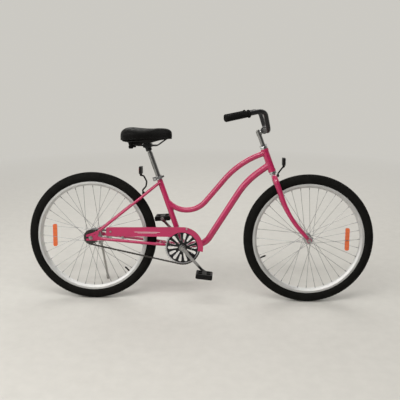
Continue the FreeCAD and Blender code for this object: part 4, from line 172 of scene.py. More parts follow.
def shader_of(material):
    """A material's Principled shader."""
    return material.node_tree.nodes["Principled BSDF"]


def join(material, output, socket):
    """Joins an output to one of the shader's sockets."""
    material.node_tree.links.new(output, shader_of(material).inputs[socket])


def surface(name, colour, roughness, metallic=0.0, **more):
    """A Principled material. Constants sit on the shader's own sockets."""
    material = bpy.data.materials.new(name)
    material.use_nodes = True
    shader = shader_of(material)
    shader.inputs["Base Color"].default_value = (*colour, 1)
    shader.inputs["Roughness"].default_value = roughness
    shader.inputs["Metallic"].default_value = metallic
    for key, value in more.items():
        shader.inputs[key.replace("_", " ").title().replace("Ior", "IOR")].default_value = value
    return material


def place_of(material, stretch=(1, 1, 1)):
    """Object coordinates, stretched along each axis."""
    spot = add(material, "ShaderNodeTexCoord").outputs["Object"]
    return add(material, "ShaderNodeMapping", {"Vector": spot, "Scale": stretch}).outputs["Vector"]


def cloudy(material, scale, detail=3.0, rough=0.55, stretch=(1, 1, 1)):
    """Soft noise from 0 to 1, with features about 1/scale metres across."""
    inputs = {"Vector": place_of(material, stretch), "Scale": scale, "Detail": detail,
              "Roughness": rough}
    return add(material, "ShaderNodeTexNoise", inputs).outputs["Fac"]


def pebbled(material, scale, feature="F1"):
    """Cell pattern: distance from the nearest of scattered points, 1/scale metres apart."""
    inputs = {"Vector": place_of(material), "Scale": scale}
    return add(material, "ShaderNodeTexVoronoi", inputs, feature=feature).outputs["Distance"]


def ranged(material, value, low, high, first=0.3, last=0.7):
    """A value from first to last becomes a value from low to high, held at both ends."""
    inputs = {"Value": value, "From Min": first, "From Max": last, "To Min": low, "To Max": high}
    return add(material, "ShaderNodeMapRange", inputs, clamp=True).outputs["Result"]


def mixed(material, share, first, second):
    """A colour between two colours, or sockets, by a share."""
    made = add(material, "ShaderNodeMix", {"Factor": share}, data_type="RGBA")
    for index, colour in ((FIRST_COLOUR, first), (SECOND_COLOUR, second)):
        if isinstance(colour, bpy.types.NodeSocket):
            material.node_tree.links.new(colour, made.inputs[index])
        else:
            made.inputs[index].default_value = (*colour, 1)
    return made.outputs[MIXED_COLOUR]


def reckoned(material, first, operation, second):
    """Two values, or sockets, put together by a Math node's operation."""
    return add(material, "ShaderNodeMath", {0: first, 1: second}, operation=operation).outputs[0]


def raised(material, height, distance, strength, under=None):
    """Bump: the height, times the distance in metres, tilts the surface. Another may lie under it."""
    inputs = {"Height": height, "Distance": distance, "Strength": strength}
    if under is not None:
        inputs["Normal"] = under
    return add(material, "ShaderNodeBump", inputs).outputs["Normal"]


def edges(material, reach):
    """0 on flat faces, rising on edges: how far a normal rounded over the reach turns from the true
    one."""
    soft = add(material, "ShaderNodeBevel", {"Radius": reach}, samples=CORNER_SAMPLES).outputs["Normal"]
    true = add(material, "ShaderNodeNewGeometry").outputs["Normal"]
    same = add(material, "ShaderNodeVectorMath", {0: soft, 1: true}, operation="DOT_PRODUCT")
    return reckoned(material, 1.0, "SUBTRACT", same.outputs["Value"])


def crevices(material, reach):
    """1 in the open, falling towards 0 in corners that the reach fills."""
    inputs = {"Distance": reach}
    return add(material, "ShaderNodeAmbientOcclusion", inputs, samples=CORNER_SAMPLES).outputs["AO"]


def darker(colour, share):
    """A colour times a share."""
    return tuple(share * part for part in colour)


# Colours of dust, oil and wear, and of painted shade in corners and creases
PAINT_DUST, PLASTIC_DUST, RUBBER_DUST = (0.20, 0.15, 0.13), (0.06, 0.055, 0.05), (0.045, 0.041, 0.037)
# A near black for painted shade in the corners of bright zinc
PAINTED_CORNER_SHADE = (0.05, 0.045, 0.04)
CHAIN_GREY, THIN_OIL, BROWN_OIL = (0.16, 0.15, 0.14), (0.12, 0.115, 0.11), (0.045, 0.04, 0.035)
# Bright rubbed steel for worn edges, and a near black for painted shade in the chain's corners
RUBBED_STEEL, CORNER_SHADE_BLACK = (0.36, 0.35, 0.34), (0.012, 0.01, 0.009)
ENAMEL_BLACK, RUBBED_ENAMEL = (0.008, 0.008, 0.0085), (0.12, 0.12, 0.12)
VINYL_BLACK = (0.006, 0.006, 0.0058)
# Painted shade for the vinyl grain's creases, and the black of its crests
VINYL_CREASE_SHADE, VINYL_CREST = (0.003, 0.003, 0.0028), (0.0066, 0.0064, 0.006)


def sprayed_paint(name, colour, deep):
    """Clear-coated paint: faint mottling, orange-peel ripple, and dust that settles in the corners."""
    made = surface(name, colour, 0.33, coat_weight=1.0, coat_roughness=0.04, coat_ior=1.58,
                   specular_ior_level=0.2)
    mottled = mixed(made, ranged(made, cloudy(made, 9.0), 0.0, 0.5), colour, deep)
    corners = ranged(made, crevices(made, 0.02), 0.35, 0.0, 0.25, 0.8)
    dusty = reckoned(made, corners, "MULTIPLY", cloudy(made, 160.0))
    join(made, mixed(made, dusty, mottled, PAINT_DUST), "Base Color")
    join(made, ranged(made, cloudy(made, 55.0), 0.27, 0.42), "Roughness")
    join(made, raised(made, cloudy(made, 300.0, 1.0), 0.0001, 0.15), "Normal")
    return made


def plated(name, colour, low, high):
    """Plated metal: smudged gloss, fine haze and a trace of polishing ripple."""
    made = surface(name, colour, low, 1.0)
    tone = mixed(made, ranged(made, cloudy(made, 30.0), 0.0, 0.6), colour, darker(colour, 0.82))
    join(made, tone, "Base Color")
    smudge = reckoned(made, cloudy(made, 24.0), "MULTIPLY", cloudy(made, 240.0))
    join(made, ranged(made, smudge, low, high, 0.15, 0.4), "Roughness")
    join(made, raised(made, cloudy(made, 90.0, 1.0), 0.0002, 0.25), "Normal")
    return made


def turned_metal(name, colour, centre, low, high):
    """Metal brushed in rings round an axle: noise read along the distance from the wheel's centre."""
    made = surface(name, colour, low, 1.0)
    spot = add(made, "ShaderNodeTexCoord").outputs["Object"]
    reach = add(made, "ShaderNodeVectorMath", {0: spot, 1: tuple(centre)}, operation="DISTANCE")
    inputs = {"W": reach.outputs["Value"], "Scale": 2600.0, "Detail": 2.0}
    lines = add(made, "ShaderNodeTexNoise", inputs, noise_dimensions="1D").outputs["Fac"]
    tone = mixed(made, ranged(made, cloudy(made, 14.0), 0.0, 0.7), colour, darker(colour, 0.78))
    join(made, tone, "Base Color")
    join(made, ranged(made, lines, low, high), "Roughness")
    join(made, raised(made, lines, 0.00006, 0.5), "Normal")
    return made


def zinc_plate(name, colour):
    """Bright zinc: crystal patches in the gloss, and painted shade that darkens the corners."""
    made = surface(name, colour, 0.3, 1.0)
    patches = pebbled(made, 420.0)
    tone = mixed(made, ranged(made, patches, 0.0, 0.6, 0.1, 0.7), colour, darker(colour, 0.6))
    # Painted shade: the colour goes near black where the corners are occluded
    corner_shade = ranged(made, crevices(made, 0.006), 0.75, 0.0, 0.2, 0.75)
    join(made, mixed(made, corner_shade, tone, PAINTED_CORNER_SHADE), "Base Color")
    join(made, ranged(made, cloudy(made, 130.0), 0.22, 0.48), "Roughness")
    join(made, raised(made, patches, 0.00004, 0.4), "Normal")
    return made


def oiled_steel(name):
    """Dark oiled chain steel: brown oil film in patches, bright rubbed edges, and painted shade that
    blackens the corners.
    """
    made = surface(name, CHAIN_GREY, 0.35, 1.0)
    film = ranged(made, cloudy(made, 180.0), 0.0, 1.0)
    tone = mixed(made, film, THIN_OIL, BROWN_OIL)
    rubbed = ranged(made, edges(made, 0.0006), 0.0, 0.85, 0.02, 0.2)
    tone = mixed(made, rubbed, tone, RUBBED_STEEL)
    # Painted shade: the colour goes near black where the corners are occluded
    black = ranged(made, crevices(made, 0.004), 0.9, 0.0, 0.2, 0.7)
    join(made, mixed(made, black, tone, CORNER_SHADE_BLACK), "Base Color")
    join(made, ranged(made, film, 0.24, 0.5), "Roughness")
    join(made, raised(made, cloudy(made, 700.0), 0.00008, 0.4), "Normal")
    return made


def black_gloss(name, low, high):
    """Stove-black enamel on metal: gloss with fine swirl scratches, and grey rubbed edges."""
    made = surface(name, ENAMEL_BLACK, low, coat_weight=0.12, coat_roughness=0.15,
                   specular_ior_level=0.22)
    rubbed = ranged(made, edges(made, 0.0007), 0.0, 0.55, 0.04, 0.35)
    patchy = ranged(made, cloudy(made, 90.0), 0.0, 1.0, 0.35, 0.65)
    rubbed = reckoned(made, rubbed, "MULTIPLY", patchy)
    join(made, mixed(made, rubbed, ENAMEL_BLACK, RUBBED_ENAMEL), "Base Color")
    swirl = cloudy(made, 60.0, 4.0, 0.7, (1, 1, 14))
    join(made, ranged(made, swirl, low, high), "Roughness")
    join(made, raised(made, cloudy(made, 380.0, 1.0), 0.0001, 0.3), "Normal")
    return made


def moulded_plastic(name, colour, worn):
    """Moulded black plastic: fine spark-eroded grain, scuffed edges and dust in the corners."""
    made = surface(name, colour, 0.5, specular_ior_level=0.14)
    scuffs = ranged(made, edges(made, 0.0012), 0.0, 0.8, 0.03, 0.3)
    patchy = ranged(made, cloudy(made, 140.0, 5.0), 0.0, 1.0, 0.4, 0.65)
    tone = mixed(made, reckoned(made, scuffs, "MULTIPLY", patchy), colour, worn)
    corners = ranged(made, crevices(made, 0.01), 0.5, 0.0, 0.2, 0.7)
    dust = reckoned(made, corners, "MULTIPLY", cloudy(made, 90.0))
    join(made, mixed(made, dust, tone, PLASTIC_DUST), "Base Color")
    join(made, ranged(made, cloudy(made, 75.0), 0.42, 0.62), "Roughness")
    join(made, raised(made, pebbled(made, 1300.0), 0.0001, 0.5), "Normal")
    return made


def soft_rubber(name, colour, dusty):
    """Matt rubber: a dull skin with faint bloom, fine pores and pale dust in the grooves."""
    made = surface(name, colour, 0.8, specular_ior_level=0.06)
    bloom = mixed(made, ranged(made, cloudy(made, 26.0), 0.0, 0.55), colour, dusty)
    grooves = ranged(made, crevices(made, 0.004), 0.7, 0.0, 0.15, 0.75)
    dust = reckoned(made, grooves, "MULTIPLY", ranged(made, cloudy(made, 60.0), 0.2, 1.0))
    join(made, mixed(made, dust, bloom, RUBBER_DUST), "Base Color")
    join(made, ranged(made, cloudy(made, 110.0), 0.62, 0.86), "Roughness")
    join(made, raised(made, cloudy(made, 1500.0, 2.0), 0.0002, 0.5), "Normal")
    return made


def grained_vinyl(name):
    """Black saddle vinyl: pebble grain with painted shade in its creases, over fine noise, and patches
    of sheen.
    """
    made = surface(name, VINYL_BLACK, 0.56, specular_ior_level=0.08)
    grain = pebbled(made, 620.0, "DISTANCE_TO_EDGE")
    crests_and_crease_shade = ranged(made, grain, 0.0, 1.0, 0.0, 0.12)
    # Painted shade: the grain's creases are coloured darker than its crests
    join(made, mixed(made, crests_and_crease_shade, VINYL_CREASE_SHADE, VINYL_CREST), "Base Color")
    join(made, ranged(made, cloudy(made, 40.0), 0.48, 0.64), "Roughness")
    fine = raised(made, cloudy(made, 900.0), 0.0001, 0.4)
    join(made, raised(made, crests_and_crease_shade, 0.00022, 0.6, fine), "Normal")
    return made


def prism_lens(name, colour, deep):
    """A reflector's lens: clear moulded plastic over square corner prisms about 2.5 mm across, with
    painted glints on prisms picked at random.
    """
    made = surface(name, colour, 0.12, coat_weight=1.0, coat_roughness=0.03, specular_ior_level=0.6)
    inputs = {"Vector": place_of(made), "Scale": 400.0, "Randomness": 0.0}
    cells = add(made, "ShaderNodeTexVoronoi", inputs, distance="CHEBYCHEV")
    height = cells.outputs["Distance"]
    # Painted glints: random prisms are pushed towards the lens's bright colour
    painted_glints = ranged(made, cells.outputs["Color"], 0.0, 0.5, 0.2, 0.9)
    tone = mixed(made, ranged(made, height, 0.0, 1.0, 0.1, 0.5), colour, deep)
    join(made, mixed(made, painted_glints, tone, colour), "Base Color")
    join(made, raised(made, height, 0.0008, 0.7), "Normal")
    return made


pink_paint = sprayed_paint("pink_paint", (0.44, 0.011, 0.088), (0.33, 0.006, 0.060))
bright_chrome = plated("bright_chrome", (0.66, 0.66, 0.67), 0.07, 0.20)
smoky_chrome = plated("smoky_chrome", (0.38, 0.38, 0.375), 0.12, 0.28)
satin_alloy = plated("satin_alloy", (0.56, 0.56, 0.57), 0.26, 0.44)
bright_zinc = zinc_plate("bright_zinc", (0.56, 0.55, 0.53))
spoke_steel = plated("spoke_steel", (0.29, 0.29, 0.29), 0.34, 0.50)
chain_steel = oiled_steel("chain_steel")
black_enamel = black_gloss("black_enamel", 0.26, 0.44)
black_plastic = moulded_plastic("black_plastic", (0.007, 0.0068, 0.0064), (0.04, 0.04, 0.04))
black_rubber = soft_rubber("black_rubber", (0.0055, 0.0053, 0.005), (0.010, 0.0096, 0.009))
tyre_rubber = soft_rubber("tyre_rubber", (0.0050, 0.0048, 0.0042), (0.011, 0.0105, 0.0092))
saddle_vinyl = grained_vinyl("saddle_vinyl")
grey_thread = soft_rubber("grey_thread", (0.030, 0.030, 0.031), (0.045, 0.045, 0.045))
# Pale paint for the guard's pinstripe and for a painted highlight along its top edge
stripe_and_highlight_paint = sprayed_paint("stripe_and_highlight_paint", (0.66, 0.62, 0.60), (0.58, 0.54, 0.53))
amber_lens = prism_lens("amber_lens", (0.80, 0.155, 0.022), (0.52, 0.07, 0.009))
clear_lens = prism_lens("clear_lens", (0.82, 0.84, 0.86), (0.45, 0.47, 0.50))
red_lens = prism_lens("red_lens", (0.62, 0.02, 0.015), (0.28, 0.006, 0.005))
RIM_ALLOY = (0.70, 0.70, 0.69)
front_alloy = turned_metal("front_rim_alloy", RIM_ALLOY, front_axle, 0.52, 0.70)
rear_alloy = turned_metal("rear_rim_alloy", RIM_ALLOY, rear_axle, 0.52, 0.70)

FINISHES = (
    (pink_paint, "head_tube top_tube down_tube seat_tube bottom_bracket_shell chain_stays seat_stays "
                 "rear_dropouts chain_guard fork_blades"),
    (bright_chrome, "headset_cups headset_races fork_steerer seat_clamp seat_clamp_lever"),
    (smoky_chrome, "stem seat_post right_crank_arm left_crank_arm"),
    (satin_alloy, "front_hub rear_hub pedal_spindles crank_spindle bottom_bracket_cups chainring"),
    (bright_zinc, "chain_guard_fixings rear_axle front_axle brake_arm crank_bolts stem_expander "
                  "kickstand_bracket kickstand"),
    (spoke_steel, "front_spokes rear_spokes"),
    (chain_steel, "chain rear_sprocket"),
    (black_enamel, "handlebar chainring_disc saddle_clamp saddle_rails"),
    (black_plastic, "right_pedal left_pedal front_reflector rear_reflector front_reflector_bracket "
                    "rear_reflector_bracket saddle_base"),
    (black_rubber, "left_grip right_grip saddle_bumpers front_inner_tube rear_inner_tube"),
    (tyre_rubber, "front_tyre rear_tyre"),
    (saddle_vinyl, "saddle_cover"),
    (amber_lens, "front_wheel_reflector rear_wheel_reflector"),
    (front_alloy, "front_rim"),
    (rear_alloy, "rear_rim"),
)
for material, names in FINISHES:
    for name in names.split():
        nodes[name].data.materials.clear()
        nodes[name].data.materials.append(material)
        nodes[name].active_material = material


# Tyres

TYRE_HALF_WIDTH, TYRE_WALL = 26.5, 4.0
SECTION_MIDDLE = np.array([AXLE_HEIGHT - TYRE_HALF_WIDTH, 0.0])
CARCASS_ARC, TREAD_ARC = math.radians(140.0), math.radians(64.0)
TREAD_POINTS, WALL_POINTS, INNER_POINTS = 43, 9, 11
# Corners of a bead: distance from the axle, and to the side
BEAD = np.array([(284.0, 15.4), (280.5, 14.6), (280.5, 11.0)])
TREAD_BLOCKS, BLOCK_STEPS = 112, 8
TREAD_CUT, WALL_CUT = 1.7, 0.35
# Distances from the tyre's middle, round its section
RIB_GROOVE, ROW_GROOVE = 5.0, 15.5
WALL_LINES = (36.0, 44.0)
CHEVRON_START, CHEVRON_END, CHEVRON_SLANT = (3.0, 4.5), (26.5, 29.0), 26.0
# Half widths of grooves at the floor and at the edge: in mm, and of chevrons as shares of a block
ROUND_GROOVE, WALL_GROOVE, CHEVRON_GROOVE = (0.6, 1.7), (0.4, 1.5), (0.10, 0.24)


def tyre_section():
    """A tyre's closed section, as distance from the axle and to the side (mm): an arc round the
    section's middle from bead to bead, with most of its points on the tread, a bead, a smaller arc back
    along the inner wall, and the other bead. Also the angles of the outer arc's points."""
    angle = np.concatenate([np.linspace(-CARCASS_ARC, -TREAD_ARC, WALL_POINTS, endpoint=False),
                            np.linspace(-TREAD_ARC, TREAD_ARC, TREAD_POINTS, endpoint=False),
                            np.linspace(TREAD_ARC, CARCASS_ARC, WALL_POINTS)])
    back = np.linspace(CARCASS_ARC, -CARCASS_ARC, INNER_POINTS)
    outer = SECTION_MIDDLE + TYRE_HALF_WIDTH * ways(angle)
    inner = SECTION_MIDDLE + (TYRE_HALF_WIDTH - TYRE_WALL) * ways(back)
    return np.concatenate([outer, BEAD, inner, BEAD[::-1] * (1, -1)]), angle


def groove(value, middle, half_widths):
    """1 on a groove's floor, falling smoothly to 0 at its edge, by the distance from its middle."""
    return 1 - eased(np.abs(value - middle), *half_widths)


def tread_depth(turn, angle):
    """How far the tyre is cut (mm): two grooves each side of the middle, chevron grooves that slant from
    the first out to the shoulder and jump half a block at the second, and two fine lines on each wall.
    Turn counts blocks round the tyre, and angle is round its section."""
    across = np.abs(angle) * TYRE_HALF_WIDTH
    phase = (turn + across / CHEVRON_SLANT + 0.5 * (across > ROW_GROOVE)) % 1.0
    chevron = groove(phase, 0.5, CHEVRON_GROOVE)
    chevron = chevron * eased(across, *CHEVRON_START) * (1 - eased(across, *CHEVRON_END))
    rib, row = (groove(across, place, ROUND_GROOVE) for place in (RIB_GROOVE, ROW_GROOVE))
    wall = sum(groove(across, line, WALL_GROOVE) for line in WALL_LINES)
    return TREAD_CUT * np.maximum(chevron, np.maximum(rib, row)) + WALL_CUT * wall


def make_tyre(name, centre_x, body):
    """A tyre: its section turned about the axle, with each outer point moved towards the section's
    middle by the depth there."""
    section, angle = tyre_section()
    turn = np.arange(TREAD_BLOCKS * BLOCK_STEPS) / BLOCK_STEPS
    depth = np.zeros((len(turn), len(section)))
    depth[:, :len(angle)] = tread_depth(turn[:, None], angle[None, :])
    cut = section[None] - depth[..., None] * unit(section - SECTION_MIDDLE)[None]
    swing = (turn / TREAD_BLOCKS * 2 * math.pi)[:, None]
    points = np.stack([centre_x + cut[..., 0] * np.cos(swing), cut[..., 1],
                       AXLE_HEIGHT + cut[..., 0] * np.sin(swing)], -1)
    faces = grid_faces(len(turn), len(section), True, True)
    piece = mesh_piece(name + "_tread", points, faces, tyre_rubber, body)
    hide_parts(name)


make_tyre("front_tyre", HALF_WHEELBASE, "front_wheel")
make_tyre("rear_tyre", -HALF_WHEELBASE, "rear_wheel")

# Weld beads where tubes meet

HEAD_FOOT, STEER_UP = np.array([366.78, 0.0, 679.71]), np.array([-0.35021, 0.0, 0.93667])
SEAT_UP = np.array([-0.33381, 0.0, 0.94264])
TOP_TUBE_HEAD, TOP_TUBE_HEAD_RUN = np.array([330.89, 0, 775.72]), np.array([-135.26, 0, -53.65])
TOP_TUBE_SEAT, TOP_TUBE_SEAT_RUN = np.array([-169.65, 0, 518.95]), np.array([116.12, 0, -95.85])
DOWN_TUBE_HEAD, DOWN_TUBE_HEAD_RUN = np.array([353.12, 0, 716.24]), np.array([-118.18, 0, -87.36])
DOWN_TUBE_SHELL_RUN = np.array([116.86, 0, 11.56])
STAY_SIDE, STAY_RUN = 16.0, np.array([-168.55, 24.5, 16.29])
# Radii of the hosts, with the seat tube's bead a little outside it, and of the tubes that join them
HEAD_TUBE, SHELL, SEAT_TUBE = 18.0, 21.0, 14.9
TOP_TUBE, TOP_TUBE_END, DOWN_TUBE, SEAT_TUBE_FOOT, STAY = 14.3, 14.0, 17.0, 14.3, 8.0
FULL_BEAD, SLIM_BEAD, BEAD_LIFT = 2.1, 1.7, 0.4
# A puddle's length, its rise and a slow waver's, as shares of the bead, and the waver's step
PUDDLE, PUDDLE_RISE, WAVER_RISE, WAVER_STEP = 2.6, 0.10, 0.05, 0.35
WELD_POINTS, WELD_SIDES = 288, 10


def closed_bead(path, side, rise, radius, sides):
    """A round bead along a closed path: at each point a circle of that point's radius, across it."""
    way = ways(full_turn(sides))[None]
    radius = np.broadcast_to(radius, len(path))[:, None, None]
    across = way[..., 0:1] * side[:, None, :] + way[..., 1:2] * rise[:, None, :]
    return path[:, None, :] + radius * across, grid_faces(len(path), sides, True, True)


def weld_path(host, host_run, host_radius, start, run, radius):
    """Where a tube's wall meets a host tube: each line of the wall, at an angle round the tube, is
    followed along the tube's run to where its distance from the host's axis equals the host's
    radius."""
    run, host_run = unit(run), unit(host_run)
    level = unit(np.cross(run, host_run))
    turn = full_turn(WELD_POINTS)[:, None]
    wall = start + radius * (np.cos(turn) * level + np.sin(turn) * np.cross(level, run))
    offset = wall - host
    offset = offset - (offset @ host_run)[:, None] * host_run
    step = run - (run @ host_run) * host_run
    a, b = step @ step, offset @ step
    c = np.sum(offset * offset, axis=1) - host_radius**2
    reach = (-b + np.sqrt(np.maximum(b * b - a * c, 0))) / a
    return wall + reach[:, None] * run


def make_weld(name, host, host_run, host_radius, start, run, radius, bead):
    """A weld bead round a tube's end. Its thickness is the bead's times one, plus a share of the size of
    a sine that follows the puddles, plus a smaller share of a slow sine."""
    path = weld_path(host, host_run, host_radius, start, run, radius + BEAD_LIFT)
    along = unit(np.roll(path, -1, 0) - np.roll(path, 1, 0))
    side = unit(np.cross(along, unit(run)))
    length = np.linalg.norm(np.roll(path, -1, 0) - path, axis=1).sum()
    place = np.arange(WELD_POINTS)
    puddles = place / WELD_POINTS * 2 * math.pi * round(length / PUDDLE)
    ripple = PUDDLE_RISE * np.abs(np.sin(puddles / 2)) + WAVER_RISE * np.sin(WAVER_STEP * place)
    points, faces = closed_bead(path, side, np.cross(side, along), bead * (1 + ripple), WELD_SIDES)
    mesh_piece("weld_" + name, points, faces, pink_paint, "frame")


# Name, the host tube's point, run and radius, the joined tube's start, run and radius, and the bead
WELDS = [
    ("top_tube_head", HEAD_FOOT, STEER_UP, HEAD_TUBE,
     TOP_TUBE_HEAD, TOP_TUBE_HEAD_RUN, TOP_TUBE, FULL_BEAD),
    ("down_tube_head", HEAD_FOOT, STEER_UP, HEAD_TUBE,
     DOWN_TUBE_HEAD, DOWN_TUBE_HEAD_RUN, DOWN_TUBE, FULL_BEAD),
    ("top_tube_seat", CRANK, SEAT_UP, SEAT_TUBE,
     TOP_TUBE_SEAT, TOP_TUBE_SEAT_RUN, TOP_TUBE_END, SLIM_BEAD),
    ("down_tube_shell", CRANK, ACROSS, SHELL, CRANK, DOWN_TUBE_SHELL_RUN, DOWN_TUBE, FULL_BEAD),
    ("seat_tube_shell", CRANK, ACROSS, SHELL, CRANK, SEAT_UP, SEAT_TUBE_FOOT, FULL_BEAD),
]
for hand, side in (("left", 1), ("right", -1)):
    start = CRANK + side * STAY_SIDE * ACROSS
    run = STAY_RUN * (1, side, 1)
    WELDS.append(("chain_stay_" + hand, CRANK, ACROSS, SHELL, start, run, STAY, SLIM_BEAD))
for weld in WELDS:
    make_weld(*weld)

# Chain pins: a low dome on each end of each pin

PITCH, LINKS = 12.7, 106
RING_TEETH, SPROCKET_TEETH = 44, 18
RING_RADIUS, SPROCKET_RADIUS = 89.011, 36.568
# Angles round both wheels at which the upper and the lower run leave them
UPPER_TURN, LOWER_TURN = 1.585544, 4.505088
CHAIN_LINE, PLATE_FACE = -44.0, 3.6
PIN_RADIUS, PIN_RISE, PIN_SIDES = 2.0, 0.55, 8


def chain_pins():
    """The middle of each pin, forward and up (mm): pitch by pitch along the upper run, round the
    sprocket, back along the lower run and round the chain wheel."""
    ring, hub = CRANK[[0, 2]], np.array([-HALF_WHEELBASE, AXLE_HEIGHT])
    leaving = ways(np.array([UPPER_TURN, LOWER_TURN]))
    upper_start, lower_end = ring + RING_RADIUS * leaving
    upper_end, lower_start = hub + SPROCKET_RADIUS * leaving
    straight = np.linalg.norm(upper_end - upper_start) / PITCH
    sprocket_step, ring_step = 2 * math.pi / SPROCKET_TEETH, 2 * math.pi / RING_TEETH
    bend = (LOWER_TURN - UPPER_TURN) / sprocket_step
    count = np.arange(LINKS, dtype=float)
    link = count[:, None]
    upper = upper_start + (upper_end - upper_start) * link / straight
    behind = hub + SPROCKET_RADIUS * ways(UPPER_TURN + (count - straight) * sprocket_step)
    lower = lower_start + (lower_end - lower_start) * (link - straight - bend) / straight
    ahead = ring + RING_RADIUS * ways(LOWER_TURN + (count - 2 * straight - bend) * ring_step)
    within = link <= straight, link <= straight + bend, link <= 2 * straight + bend
    return np.select(within, (upper, behind, lower), ahead)


def pin_head(outward):
    """A low rivet head round the y axis: rings that shrink as the head rises, closed at both ends."""
    turn = full_turn(PIN_SIDES)
    radius = PIN_RADIUS * np.array([0.0, 1.0, 1.0, 0.72, 0.0])[:, None]
    rise = PIN_RISE * np.array([-0.6, -0.6, 0.45, 0.9, 1.0])[:, None] * outward
    rise = np.broadcast_to(rise, (len(radius), PIN_SIDES))
    points = np.stack([radius * np.cos(turn), rise, radius * np.sin(turn)], -1)
    return points.reshape(-1, 3), grid_faces(len(radius), PIN_SIDES, False, True)


def make_pin_heads(name, pins, outward):
    """One mesh of rivet heads: a head's points added to the middle of each pin, at its plate's face."""
    across = np.full((len(pins), 1), CHAIN_LINE + outward * PLATE_FACE)
    centres = np.concatenate([pins[:, :1], across, pins[:, 1:]], -1)
    head, faces = pin_head(outward)
    faces = repeated(faces, len(pins), len(head))
    mesh_piece(name, centres[:, None, :] + head[None], faces, chain_steel, "frame")


make_pin_heads("chain_pin_heads_outer", chain_pins(), -1)
make_pin_heads("chain_pin_heads_inner", chain_pins(), 1)

# Chain wheel slots: a bright rim round each

SLOT_OUTER, SLOT_OUTER_HALF = 67.5, 7.5
# The inner end's radius and half width, and the first slot's place in steps, for long and short slots
SLOT_KINDS = ((28.0, 3.0, 0.0), (42.0, 3.6, 0.5))
SLOTS_OF_A_KIND, FIRST_SLOT = 7, math.radians(182.0)
DISC_FACE = -48.4
RIM_RADIUS, RIM_SHIFT = 0.75, 0.35
RIM_POINTS, RIM_SIDES = 40, 8


def slot_path(inner_radius, inner_half):
    """A tapered slot's outline: for each direction, the point farthest that way on a large circle at the
    outer end and a small circle at the inner end. Also those directions."""
    way = ways(full_turn(RIM_POINTS))
    outer, inner = np.array([SLOT_OUTER, 0.0]), np.array([inner_radius, 0.0])
    reach_outer, reach_inner = way @ outer + SLOT_OUTER_HALF, way @ inner + inner_half
    near_outer = (reach_outer >= reach_inner)[:, None]
    return np.where(near_outer, outer + SLOT_OUTER_HALF * way, inner + inner_half * way), way


def make_slot_rims():
    """A round rim, half sunk in the disc's outer face, along each slot's edge: the slot's outline is
    swung to seven places round the crank, for the long slots and for the short ones."""
    turn = full_turn(RIM_SIDES)
    rims = []
    for inner_radius, inner_half, first in SLOT_KINDS:
        path, way = slot_path(inner_radius, inner_half)
        shift = (RIM_SHIFT + RIM_RADIUS * np.cos(turn))[None, :, None]
        flat = path[:, None, :] + shift * way[:, None, :]
        swing = FIRST_SLOT + (np.arange(SLOTS_OF_A_KIND) + first) * 2 * math.pi / SLOTS_OF_A_KIND
        cosine, sine = np.cos(swing)[:, None, None], np.sin(swing)[:, None, None]
        along = flat[None, ..., 0] * cosine - flat[None, ..., 1] * sine
        above = flat[None, ..., 0] * sine + flat[None, ..., 1] * cosine
        outward = np.broadcast_to(DISC_FACE - RIM_RADIUS * np.sin(turn), along.shape)
        rims.append(np.stack([CRANK[0] + along, outward, CRANK[2] + above], -1))
    rims = np.concatenate(rims)
    faces = repeated(grid_faces(RIM_POINTS, RIM_SIDES, True, True), len(rims), RIM_POINTS * RIM_SIDES)
    mesh_piece("disc_slot_rims", rims, faces, bright_chrome, "crankset")


make_slot_rims()

# Padded saddle

SADDLE_REAR, SADDLE_LENGTH, SADDLE_LOW = -407.0, 262.0, 832.8
SADDLE_HALF_WIDTH, SADDLE_HEIGHT = 104.0, 66.0
# Along, then half width, crest and underside as shares of the saddle's own sizes
SADDLE_SHAPE = np.array([
    (0.00, 0.80, 0.80, 0.03), (0.06, 0.87, 0.91, 0.01), (0.12, 0.93, 0.97, 0.00),
    (0.22, 1.00, 1.00, 0.00), (0.36, 0.95, 0.94, 0.02), (0.50, 0.69, 0.89, 0.05),
    (0.62, 0.44, 0.90, 0.07), (0.74, 0.315, 0.945, 0.09), (0.88, 0.27, 0.93, 0.10),
    (1.00, 0.24, 0.84, 0.14)])
# Shares of the length that are rounded off, and of the height that an end loses
REAR_ROUND, NOSE_ROUND, END_DROP = 0.15, 0.10, 0.38
PAD_ROWS, PAD_COLUMNS, PAD_SLACK = 90, 72, 1.0
TOP_POWER, SIDE_POWER, WIDEST, TUCK = 2.5, 7.0, 0.42, 0.07
PAD_VOXEL = 0.0045
PINNED_SHARE, SWELL_PRESSURE, SWELL_CAP, SWELL_STEPS = 0.30, 4.0, 0.006, 20
PIPING_LIFT, PIPING_SINK, PIPING_RADIUS, PIPING_SIDES = -1.5, -1.0, 3.1, 12
STITCH_LIFT, STITCH_RISE, STITCH_COUNT = 8.5, 0.25, 132
STITCH_HALF, STITCH_RADIUS, STITCH_RINGS, STITCH_SIDES = 1.7, 0.55, 7, 6
HALF_RIM_POINTS, RIM_STEPS = 160, 300
RIB_REAR, RIB_LENGTH, RIB_TOP, RIB_HANG = -352.0, 72.0, 828.5, 19.0
RIB_HALF_WIDTH, RIB_SIDE, RIB_ROWS, RIB_COLUMNS = 2.6, 40.0, 33, 20


